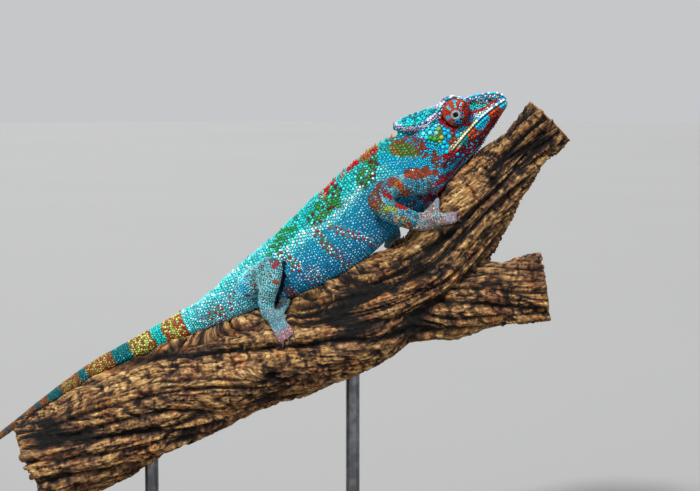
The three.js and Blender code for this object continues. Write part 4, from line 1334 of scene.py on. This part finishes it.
def makeScales():
    rows = scales.joined()
    places, radius, form = rows[0], rows[3], rows[-1]
    _, _, region = onSkin(places)
    dice = chance.uniform(0, 1, len(places))
    colours = coloursAt(places, region, dice, glow=paleAndHighlight(places, region, radius, form))
    isSpot, besideSpot = chooseSpots(places, (form == 0) & (radius > 0.5) & isIn(region, "trunk", "tail"))
    colours = blend(blend(colours, inks["spot"], isSpot), inks["pale"], 0.85 * besideSpot)
    rows[3] = radius = np.where(isSpot, radius * coat["spot"], radius)
    rows[4] = np.where(isSpot, rows[4] * coat["spot"], rows[4])
    shade = chance.uniform(0.7, 1.14, len(places)) * np.where(radius < 0.5, 0.78, 1.0)
    colours = colours * shade[:, None]
    finish = scaleFinish()
    for k, name in enumerate(regionNames):
        here = np.flatnonzero(region == k)
        side = places[here, 1] > 0
        halves = {"": np.ones(len(here), bool)}
        if triangleCount(form[here]).sum() > coat["most"]:
            halves = {"_right": ~side, "_left": side}
        for half, chosen in halves.items():
            pick = here[chosen]
            cost = triangleCount(form[pick]).sum()
            print("scales", name + half, len(pick), "scales", cost, "triangles")
            unwrap = unwrapAt(lines[name], places[pick])
            low, high = unwrap[:, 1].min(), unwrap[:, 1].max()
            unwrap[:, 1] = (unwrap[:, 1] - low) / (high - low) * 0.98 + 0.01
            shown = np.clip(colours[pick], 0, 1)
            scaleMesh("scales_" + name + half, [r[pick] for r in rows], shown, unwrap, finish)


makeScales()
print("stage: scale meshes")

# Eye turrets and eyes.

turret = {
    "radius": 7.5,
    "shift": (-0.5, 0.3, 0.2),     # back, out, up from the eye's middle
    "looks": (0.17, 1.0, -0.13),   # back, out, up
    "opening": 1.5,               # half width between the lids
    "lid": 2.45,
    "back": 118.0,                 # degrees from the way it looks to where it ends in the head
    "coated": 106.0,               # and to where grains cover it
    "pitch": 0.74,                 # between its grains
    "bead": 0.39,
    "fold": 0.1,                   # height of the folds round the opening
    "ball": 2.25,
    "shade": 0.36,                 # how dark its skin is painted beside its grains: painted shade in the gaps between them
}
# Colours on the turret: ink, cover, angle up from the snout's side and half its width, and where it starts
# and ends, as shares of the radius.
turretMarks = [
    # the darkRed mark on the snout's side is painted shade, on the turret's side away from the key lamp
    ("orange", 0.4, 170, 90, 0.3, 1.2), ("darkRed", 0.6, -10, 65, 0.3, 1.2),
    ("slate", 0.4, 0, 60, 0.32, 0.62), ("cyan", 1.0, 134, 8, 0.46, 0.86), ("sky", 0.6, 134, 6, 0.5, 0.84),
    ("cyan", 1.0, 94, 7, 0.5, 0.98), ("sky", 0.6, 94, 6, 0.55, 0.95), ("sky", 0.9, 64, 5, 0.6, 0.95),
    ("cyan", 0.9, 200, 14, 0.42, 0.76), ("navy", 0.8, -72, 34, 0.4, 0.9), ("cyan", 0.35, -80, 44, 0.34, 0.9),
]


def turretFrame(side):  # its middle, the way it looks, and two ways across
    b, o, u = turret["looks"]
    way = unit(headPoint(b, side * o, u) - headPoint(0, 0, 0))
    across = unit(np.cross((0.0, 0.0, 1.0), way))
    back, out, up = (eye[k] + more for k, more in zip(("back", "out", "up"), turret["shift"]))
    return headPoint(back, side * out, up), way, across, np.cross(way, across)


def turretSurface(degrees):  # distance from the axis and along it, at an angle from the axis
    a = np.radians(degrees)
    start = math.asin(turret["lid"] / turret["radius"])
    folds = np.cos((a - start) * turret["radius"] / 1.7 * 2 * math.pi) * np.exp(-((a - start) / 0.75) ** 2)
    radius = turret["radius"] + turret["fold"] * folds
    return radius * np.sin(a), radius * np.cos(a)


def lathed(profile, frameAt, sides):  # a closed shape turned round a way through a middle
    middle, way, across, above = frameAt
    turns = np.linspace(0, 2 * math.pi, sides, endpoint=False)
    rings = [middle + h * way + r * (np.cos(turns)[:, None] * across + np.sin(turns)[:, None] * above)
             for r, h in profile[1:-1]]
    points = np.vstack([*rings, (middle + profile[0][1] * way)[None], (middle + profile[-1][1] * way)[None]])
    i, j = np.arange(sides), (np.arange(sides) + 1) % sides
    steps = np.arange(len(rings) - 1)[:, None] * sides
    quads = np.stack([steps + i, steps + j, steps + j + sides, steps + i + sides], 2).reshape(-1, 4)
    last = (len(rings) - 1) * sides
    ends = np.vstack([np.stack([j, i, np.full(sides, len(points) - 2)], 1),
                      np.stack([last + i, last + j, np.full(sides, len(points) - 1)], 1)])
    return points, [ends, quads]


def turretColours(points, side, dice, softly=False):
    middle, way, _, _ = turretFrame(side)
    away = points - middle
    disc = np.sqrt(away[:, 0] ** 2 + away[:, 2] ** 2) / turret["radius"]
    look = way * turret["radius"]
    angle = np.degrees(np.arctan2(away[:, 2] - look[2], away[:, 0] - look[0]))
    reach = np.linalg.norm(np.cross(away, way), axis=1) / turret["radius"]
    colours = blend(inks["red"], inks["orange"], smoothStep(lumps(points, 1.8, 51), -0.5, 0.5))
    for k, (name, cover, middleAngle, half, first, last) in enumerate(turretMarks):
        turned = np.abs((angle - middleAngle + 180) % 360 - 180)
        inside = (turned + 5 * lumps(points, 1.2, 52) < half) * (reach > first) * (reach < last)
        shown = cover if softly else ((dice * (k * 5.3 + 2.9)) % 1) < cover
        colours = blend(colours, inks[name], inside * shown)
    # darker red towards the turret's outline as seen from the side: partly its red rim, partly painted shade
    colours = blend(colours, inks["darkRed"], 0.7 * smoothStep(disc, 0.85, 1.05))
    # painted shade: the turret's skin is darkened where it shows between its grains
    if softly:
        colours = colours * turret["shade"]
    lid = 1 - smoothStep(np.linalg.norm(np.cross(away, way), axis=1), turret["lid"], turret["lid"] + 0.5)
    return blend(colours, ink(176, 204, 214), lid * (away @ way > 0))


def makeTurret(side, name):
    frameAt = turretFrame(side)
    middle, way, across, above = frameAt
    first = math.degrees(math.asin(turret["lid"] / turret["radius"]))
    wide, along = turretSurface(np.linspace(turret["back"], first, 60))
    lidFoot = along[-1]
    lids = [(2.25, lidFoot + 0.26), (2.02, lidFoot + 0.36), (1.76, lidFoot + 0.24), (1.56, lidFoot - 0.02),
            (turret["opening"], lidFoot - 0.4), (1.6, lidFoot - 1.3), (0.0, lidFoot - 1.5)]
    profile = [(0.0, along[0]), *zip(wide, along), *lids]
    points, faces = lathed(profile, frameAt, 72)
    skin = meshObject("turret_skin_" + name, points, faces, turretFinish)
    setColours(skin, "markings", turretColours(points, side, np.full(len(points), 0.5), softly=True))
    finished(skin, "turret", "eye_turret_" + name)
    rows = []
    step = turret["pitch"] * 0.9 / turret["radius"]
    for ring, reach in enumerate(np.arange(math.radians(first) + 0.05, math.radians(turret["coated"]), step)):
        count = round(2 * math.pi * turret["radius"] * math.sin(reach) / turret["pitch"])
        jitter = chance.uniform(-0.12, 0.12, count)
        turns = (np.arange(count) + 0.5 * (ring % 2) + jitter) / count * 2 * math.pi
        rows.append(np.stack([np.full(count, reach) + chance.uniform(-0.006, 0.006, count), turns], 1))
    reach, turns = np.vstack(rows).T
    wide, along = turretSurface(np.degrees(reach))
    out = np.cos(turns)[:, None] * across + np.sin(turns)[:, None] * above
    places = middle + along[:, None] * way + wide[:, None] * out
    normals = unit(places - middle)
    lie = unit(np.cross(normals, np.cross(way, out)))
    radius = turret["bead"] * chance.uniform(0.85, 1.12, len(places))
    full = [np.full(len(places), v) for v in (0.0, 0.92)]
    rows = [places, normals, lie, radius, 0.75 * radius, *full, np.zeros(len(places), int)]
    colours = turretColours(places, side, chance.uniform(0, 1, len(places)))
    colours = colours * chance.uniform(0.7, 1.15, (len(places), 1))
    spread = reach / reach.max()
    unwrap = np.stack([spread * np.cos(turns), spread * np.sin(turns)], 1) * 0.49 + 0.5
    scaleMesh("turret_scales_" + name, rows, np.clip(colours, 0, 1), unwrap, turretScaleFinish, "turret")


def makeEye(side, name):
    middle, way, across, above = turretFrame(side)
    ball = turret["ball"]
    front = math.cos(math.asin(turret["lid"] / turret["radius"])) * turret["radius"] + 0.3
    angles = np.radians(np.linspace(180, 0, 48))
    cornea = 0.12 * np.exp(-((np.degrees(angles) / 26) ** 2))
    wide, along = (ball + cornea) * np.sin(angles), (ball + cornea) * np.cos(angles)
    points, faces = lathed(list(zip(wide, along)), (middle + (front - ball) * way, way, across, above), 48)
    obj = meshObject("eye_" + name, points, faces, eyeFinish())
    setValues(obj, "reach", np.linalg.norm(np.cross(points - middle, way), axis=1))
    finished(obj, "eyeball", "eyeball_" + name)


def eyeFinish():
    finish = Finish("eye", Coat_Roughness=0.03, Specular_IOR_Level=0.1)
    reach = finish.attribute("reach", "Fac")
    flecks = finish.noise(finish.place(), 3000.0)
    iris = finish.mix(flecks.between(0.35, 0.7), ink(70, 38, 10), ink(176, 118, 40))
    colour = finish.mix(reach.between(1.2, 1.26), (0.001, 0.001, 0.0015), iris)
    colour = finish.mix(reach.between(1.34, 1.42), colour, ink(12, 8, 6))
    return finish.feed(Base_Color=colour, Roughness=0.06 + reach * 0.02, Coat_Weight=0.1 - reach * 0.02)


turretFinish = skinFinish()
turretScaleFinish = scaleFinish()
for side, name in ((-1, "right"), (1, "left")):
    makeTurret(side, name)
    makeEye(side, name)
print("stage: turrets and eyes")

# Claws.

claw = {
    "length": 2.7,
    "hook": 1.0,
    # shares along, from inside the toe to the tip, and how thick it is there
    "shape": [(-0.3, 0.5), (-0.12, 0.8), (0.0, 0.86), (0.1, 0.8), (0.3, 0.72), (0.5, 0.58), (0.7, 0.42),
              (0.85, 0.27), (0.95, 0.16), (1.0, 0.07)],
    "sides": 14,
}


def clawFinish():
    finish = Finish("claw_horn", Specular_IOR_Level=0.6, Coat_Roughness=0.2)
    place = finish.place()
    reach = finish.attribute("reach", "Fac")
    streaks = finish.noise(place, 2600.0, 4.0)
    horn = finish.ramp(reach + (streaks - 0.5) * 0.25, [(0.0, ink(80, 62, 62)), (0.2, ink(44, 34, 36)),
                                                       (0.6, ink(26, 20, 22)), (1.0, ink(10, 8, 9))])
    normal = finish.bump(streaks, 0.3, 0.0002)
    return finish.feed(Base_Color=horn, Roughness=0.28 + streaks * 0.2, Normal=normal,
                       Coat_Weight=0.3 + reach * 0.3)


def makeClaws():
    finish = clawFinish()
    for leg in legs:
        shapes, reaches = [], []
        for k in range(1, 6):
            root, way, hook = clawLine(f"{leg}_claw_{k}", leg + "_foot")
            share, thick = np.array(claw["shape"]).T
            ahead = np.clip(share, 0, 1)
            line = root + (share * claw["length"])[:, None] * way + (ahead**2 * claw["hook"])[:, None] * hook
            shapes.append(tubeShape(line, thick, claw["sides"]))
            reaches.append(np.concatenate([np.repeat(ahead, claw["sides"]), [0, 1]]))
        obj = meshObject(leg + "_claws", *joinedShapes(shapes), finish)
        setValues(obj, "reach", np.concatenate(reaches))
        finished(obj, "claw", *[f"{leg}_claw_{k}" for k in range(1, 6)])


makeClaws()
print("stage: claws")

# The branch.

bark = {
    # middle lines of the two limbs, x and z, and their radii
    "main": [(-136, 75.5, 28), (-109, 90, 28.4), (-68.5, 112, 28.2), (-28, 129.8, 27.8), (3.5, 141, 26.6),
             (29.6, 151, 28.5), (58.6, 165, 27.6), (90, 188, 23.4), (111.7, 218.5, 19.5), (122.3, 232.2, 18),
             (132.9, 244.9, 16.4), (143.5, 257, 15), (152.2, 266.3, 14.8), (162.6, 276.8, 15.2)],
    "side": [(62, 168, 18), (82, 170, 21), (104.5, 172.5, 21.4), (121.8, 175.8, 20), (139.2, 177.6, 18.6),
             (159.5, 180.4, 17.4)],
    "girths": {"main": 26.0, "side": 19.0},  # each limb's usual radius
    "sawn": 1.6,         # how near an end its sawn face is looked for
    "voxel": 1.04,
    "twist": 0.011,      # how far the grain turns, in radians for each millimetre along
    "stretch": 5.5,      # how much longer than wide its streaks are
    "long": 10.0,        # and its broad cords
    # how deep each kind of furrow goes
    "strand": 3.4, "ridge": 2.8, "cord": 1.3, "crack": 1.0, "fine": 0.35,
    "swell": 2.6,        # how far the whole surface wanders in and out
    "calm": 0.25,        # how much of that is left under the animal
    "lift": 2.0,         # how far the ridges stand over the solid branch
    "meet": 2.4,         # how much further they rise to meet the animal
    "clear": 0.3,        # and how near they come to it
    # knots: limb, along, angle round, how wide
    "knots": [("main", 62, -1.9, 9), ("main", 118, -0.9, 7), ("main", 205, -2.2, 8), ("main", 262, -1.2, 7),
              ("side", 70, -1.5, 6), ("main", 150, 1.8, 9)],
}


def limbPlaces(points, stations):  # its middle line, and along, angle, distance and share of the limb's radius
    line = Line([(x, 0, z) for x, z, _ in stations], upward)
    along, turn = line.along(points)
    index = np.clip((along / line.step).astype(int), 0, len(line.points) - 1)
    away = points - line.points[index]
    away = away - (away * line.tangents[index]).sum(1)[:, None] * line.tangents[index]
    distance = np.linalg.norm(away, axis=1)
    radii = curve([(x, 0, z, r) for x, z, r in stations])[:, 3]
    return line, along, turn, distance, distance / radii[np.minimum(index, len(radii) - 1)]


def furrow(values, width):  # 1 in the middle of a furrow, 0 beside it
    return 1 - smoothStep(np.abs(values), 0, width)


def valley(places, size, seed, width):  # 1 in the middle of long valleys, all about as wide
    values = lumps(places, size, seed)
    step = 0.04 * size
    slopes = [(lumps(places + step * axis, size, seed) - values) / step for axis in np.eye(3)]
    return furrow(values / np.maximum(np.linalg.norm(slopes, axis=0), 0.04 / size), width)


def barkRelief(along, turn, girth, name):  # how deep, and how high as a share, at places on a limb
    turned = turn - bark["twist"] * along
    ring = girth * 0.9
    streak = np.stack([along / bark["stretch"], ring * np.cos(turned), ring * np.sin(turned)], 1)
    streak = streak + 2.2 * np.stack([lumps(streak, 9, s) for s in (61, 62, 63)], 1)
    block = np.stack([along * 1.3, 0.3 * ring * np.cos(turned), 0.3 * ring * np.sin(turned)], 1)
    block = block + 1.2 * np.stack([lumps(streak, 4, s) for s in (64, 65, 66)], 1)
    broad = streak * (bark["stretch"] / bark["long"], 1, 1)
    strand, ridge = valley(broad, 14, 41, 3.6), valley(broad, 6.0, 42, 2.0)
    cord = valley(streak, 2.6, 43, 0.7)
    fine = furrow(lumps(streak, 1.3, 46), 0.3)
    crack = furrow(lumps(block, 4.4, 44), 0.1) * smoothStep(lumps(streak, 7, 45), -0.5, 0.1)
    small = 0.7 * furrow(lumps(block, 2.3, 47), 0.12) * smoothStep(lumps(streak, 6, 48), -0.2, 0.3)
    crack = np.maximum(crack, small)
    furrows = {"strand": strand, "ridge": ridge, "cord": cord, "crack": crack, "fine": fine}
    depth = sum(bark[kind] * share for kind, share in furrows.items())
    # dark and height make the furrows darker and the ridge tops lighter: partly the bark's own tones, partly
    # painted shade and painted highlight
    dark = 0.7 * strand**8 + 0.1 * strand + 0.62 * ridge**6 + 0.5 * cord**2 + 0.5 * crack + 0.28 * fine
    straight = np.stack([along, ring * np.cos(turn), ring * np.sin(turn)], 1)
    depth = depth - bark["swell"] * lumps(straight, 26, 49)
    height = 1 - np.clip(dark, 0, 1)
    knot = np.zeros(len(along))
    for limb, place, angle, wide in bark["knots"]:
        if limb == name:
            offset = (turn - angle + math.pi) % (2 * math.pi) - math.pi
            away = np.hypot((along - place) * 0.8, offset * girth)
            swell = np.exp(-((away / wide) ** 2))
            knot += swell * 2.4 - 4.5 * np.exp(-((away / (0.34 * wide)) ** 2))
            knot += 0.5 * swell * np.sin(away * 2.6)
            # knot hollows are darker too: partly the knot's own colour, partly painted shade in the hollow
            height = height - 0.9 * np.exp(-((away / (0.4 * wide)) ** 2))
    return depth - knot, np.clip(height, 0, 1), streak


def barkFinish():
    finish = Finish("weathered_bark", Specular_IOR_Level=0.25)
    height, sawn, reach = (finish.attribute(name, "Fac") for name in ("height", "sawn", "reach"))
    grain = finish.attribute("grain", "Vector")
    place = finish.place()
    streaks = finish.noise(grain, 1100.0, 5.0)
    fine = finish.noise(grain, 3200.0, 3.0)
    patches = finish.noise(place, 42.0, 3.0)
    flakes = finish.noise(finish.stretch(grain, (3.0, 0.8, 0.8)), 700.0, 4.0)
    rungs = finish.noise(finish.stretch(grain, (9.0, 0.5, 0.5)), 330.0, 3.0)
    # tone follows height: darker in the furrows, lighter on the ridges, partly the bark's own tones and
    # partly painted shade and highlight
    tone = (height * 0.68 + (streaks - 0.5) * 0.8 + (fine - 0.5) * 0.45 + (flakes - 0.5) * 0.4
            + (rungs - 0.5) * 0.5 - 0.05)
    wood = finish.ramp(tone, [(0.04, ink(6, 5, 4)), (0.22, ink(26, 17, 11)), (0.38, ink(70, 47, 28)),
                              (0.54, ink(122, 88, 50)), (0.7, ink(174, 138, 84)), (0.88, ink(216, 190, 140))])
    greyed = finish.mix(patches.between(0.48, 0.64) * 0.7, wood, ink(176, 160, 190), "MULTIPLY")
    warmer = finish.noise(place, 75.0).between(0.5, 0.64)
    golden = finish.mix(warmer * 0.45, greyed, ink(232, 158, 60), "MULTIPLY")
    wide = reach + finish.noise(place, 90.0, 2.0) * 0.004
    rings = finish.node("ShaderNodeMath", {"operation": "SINE"}, {0: wide * 2600})
    cut = finish.mix(rings * 0.35 + 0.5, ink(196, 158, 106), ink(128, 88, 50))
    cut = finish.mix(1 - wide.between(0.002, 0.009), cut, ink(92, 58, 34))
    cut = finish.mix(fine.between(0.3, 0.7) * 0.4, cut, ink(108, 74, 44))
    colour = finish.mix(sawn, golden, cut)
    normal = finish.bump(streaks * 0.6 + fine * 0.4 + rungs * 0.5 + height * 0.3, 0.9, 0.001)
    return finish.feed(Base_Color=colour, Roughness=0.92 - height * 0.22 - streaks * 0.1, Normal=normal)


def limbBark(points, normals, name, girth):  # what each place would be if it lay on that limb
    line, along, turn, distance, fit = limbPlaces(points, bark[name])
    depth, height, grain = barkRelief(along, turn, girth, name)
    index = np.clip((along / line.step).astype(int), 0, len(line.points) - 1)
    facing = np.abs((normals * line.tangents[index]).sum(1))
    atEnd = (along > line.length - bark["sawn"]) | ((along < bark["sawn"]) & (name == "main"))
    return depth, height, grain, smoothStep(facing, 0.6, 0.8) * atEnd, distance * mm, fit


def makeBranch():
    corners, tris = nodeShape("perch")
    points, quads = voxelShape(corners, tris, bark["voxel"])
    normals = normalsOf(points, quads)
    nearest = [skinFinder.find_nearest(p) for p in points.tolist()]
    animal = np.array([n[3] for n in nearest])
    above = (unit(np.array([n[0][:] for n in nearest]) - points) * normals).sum(1)
    beside = (1 - smoothStep(above, 0.3, 0.7)) * (1 - smoothStep(animal, 6.0, 12.0))
    share = bark["calm"] + (1 - bark["calm"]) * smoothStep(animal, 1.5, 8.0)
    rise = bark["lift"] + bark["meet"] * (1 - smoothStep(animal, 3.0, 12.0))
    lift = np.clip(animal - bark["clear"], 0, rise * (1 - 0.55 * beside))
    limbs = [limbBark(points, normals, name, girth) for name, girth in bark["girths"].items()]
    depths, heights, grains, sawns, reaches, fits = zip(*limbs)
    onSide = smoothStep(fits[0] - fits[1], -0.06, 0.12)

    def joined(values):
        weight = onSide if values[0].ndim == 1 else onSide[:, None]
        return values[0] * (1 - weight) + values[1] * weight

    sawn = joined(sawns)
    rods = [np.array(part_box(f"stand_rod_{k}")).mean(0) / mm for k in (1, 2)]
    nearRod = np.min([np.hypot(points[:, 0] - r[0], points[:, 1] - r[1]) for r in rods], axis=0)
    held = smoothStep(nearRod, 5.0, 9.0) + (points[:, 2] > 150)
    depth = (joined(depths) * share - lift) * (1 - sawn) * np.clip(held, 0, 1)
    points = points - normals * depth[:, None]
    branch = meshObject("branch", points, quads, barkFinish())
    # painted contact shadow: the bark is darkened within 3 mm of the animal
    setValues(branch, "height", joined(heights) * (1 - 0.25 * furrow(animal, 3.0)))
    setValues(branch, "sawn", sawn)
    setValues(branch, "reach", joined(reaches))
    setValues(branch, "grain", joined(grains) * mm, "FLOAT_VECTOR")
    finished(branch, "bark", "perch")
    print("branch of", 2 * len(quads), "triangles")


makeBranch()
print("stage: branch")

# The display stand's finishes.


def standWood():
    finish = Finish("stand_walnut", Coat_Roughness=0.22, Specular_IOR_Level=0.45)
    place = finish.place()
    grain = finish.stretch(place, (1.0, 14.0, 6.0))
    broad = finish.noise(grain, 22.0, 5.0, Distortion=0.6)
    pores = finish.noise(finish.stretch(place, (3.0, 90.0, 60.0)), 40.0, 3.0)
    colour = finish.ramp(broad, [(0.3, ink(44, 26, 17)), (0.5, ink(74, 45, 28)), (0.7, ink(98, 62, 38))])
    colour = finish.mix(pores.between(0.55, 0.75) * 0.5, colour, ink(26, 15, 10))
    normal = finish.bump(pores, 0.15, 0.0003)
    return finish.feed(Base_Color=colour, Roughness=0.36 + pores * 0.2, Normal=normal,
                       Coat_Weight=0.35 + broad * 0.1)


def rodSteel():
    finish = Finish("rod_steel")
    place = finish.place()
    turned = finish.noise(finish.stretch(place, (1.0, 1.0, 40.0)), 60.0, 3.0)
    worn = finish.noise(place, 180.0)
    colour = finish.mix(worn.between(0.4, 0.7), ink(92, 94, 98), ink(120, 121, 124))
    normal = finish.bump(turned, 0.12, 0.0002)
    return finish.feed(Base_Color=colour, Metallic=0.95 + worn * 0.05, Roughness=0.24 + turned * 0.22,
                       Normal=normal)


def dressStand():
    for finish, names in ((standWood(), ["stand_base"]), (rodSteel(), ["stand_rod_1", "stand_rod_2"])):
        for name in names:
            for slot in nodes[name].material_slots:
                slot.material = finish


dressStand()
print("stage: stand")
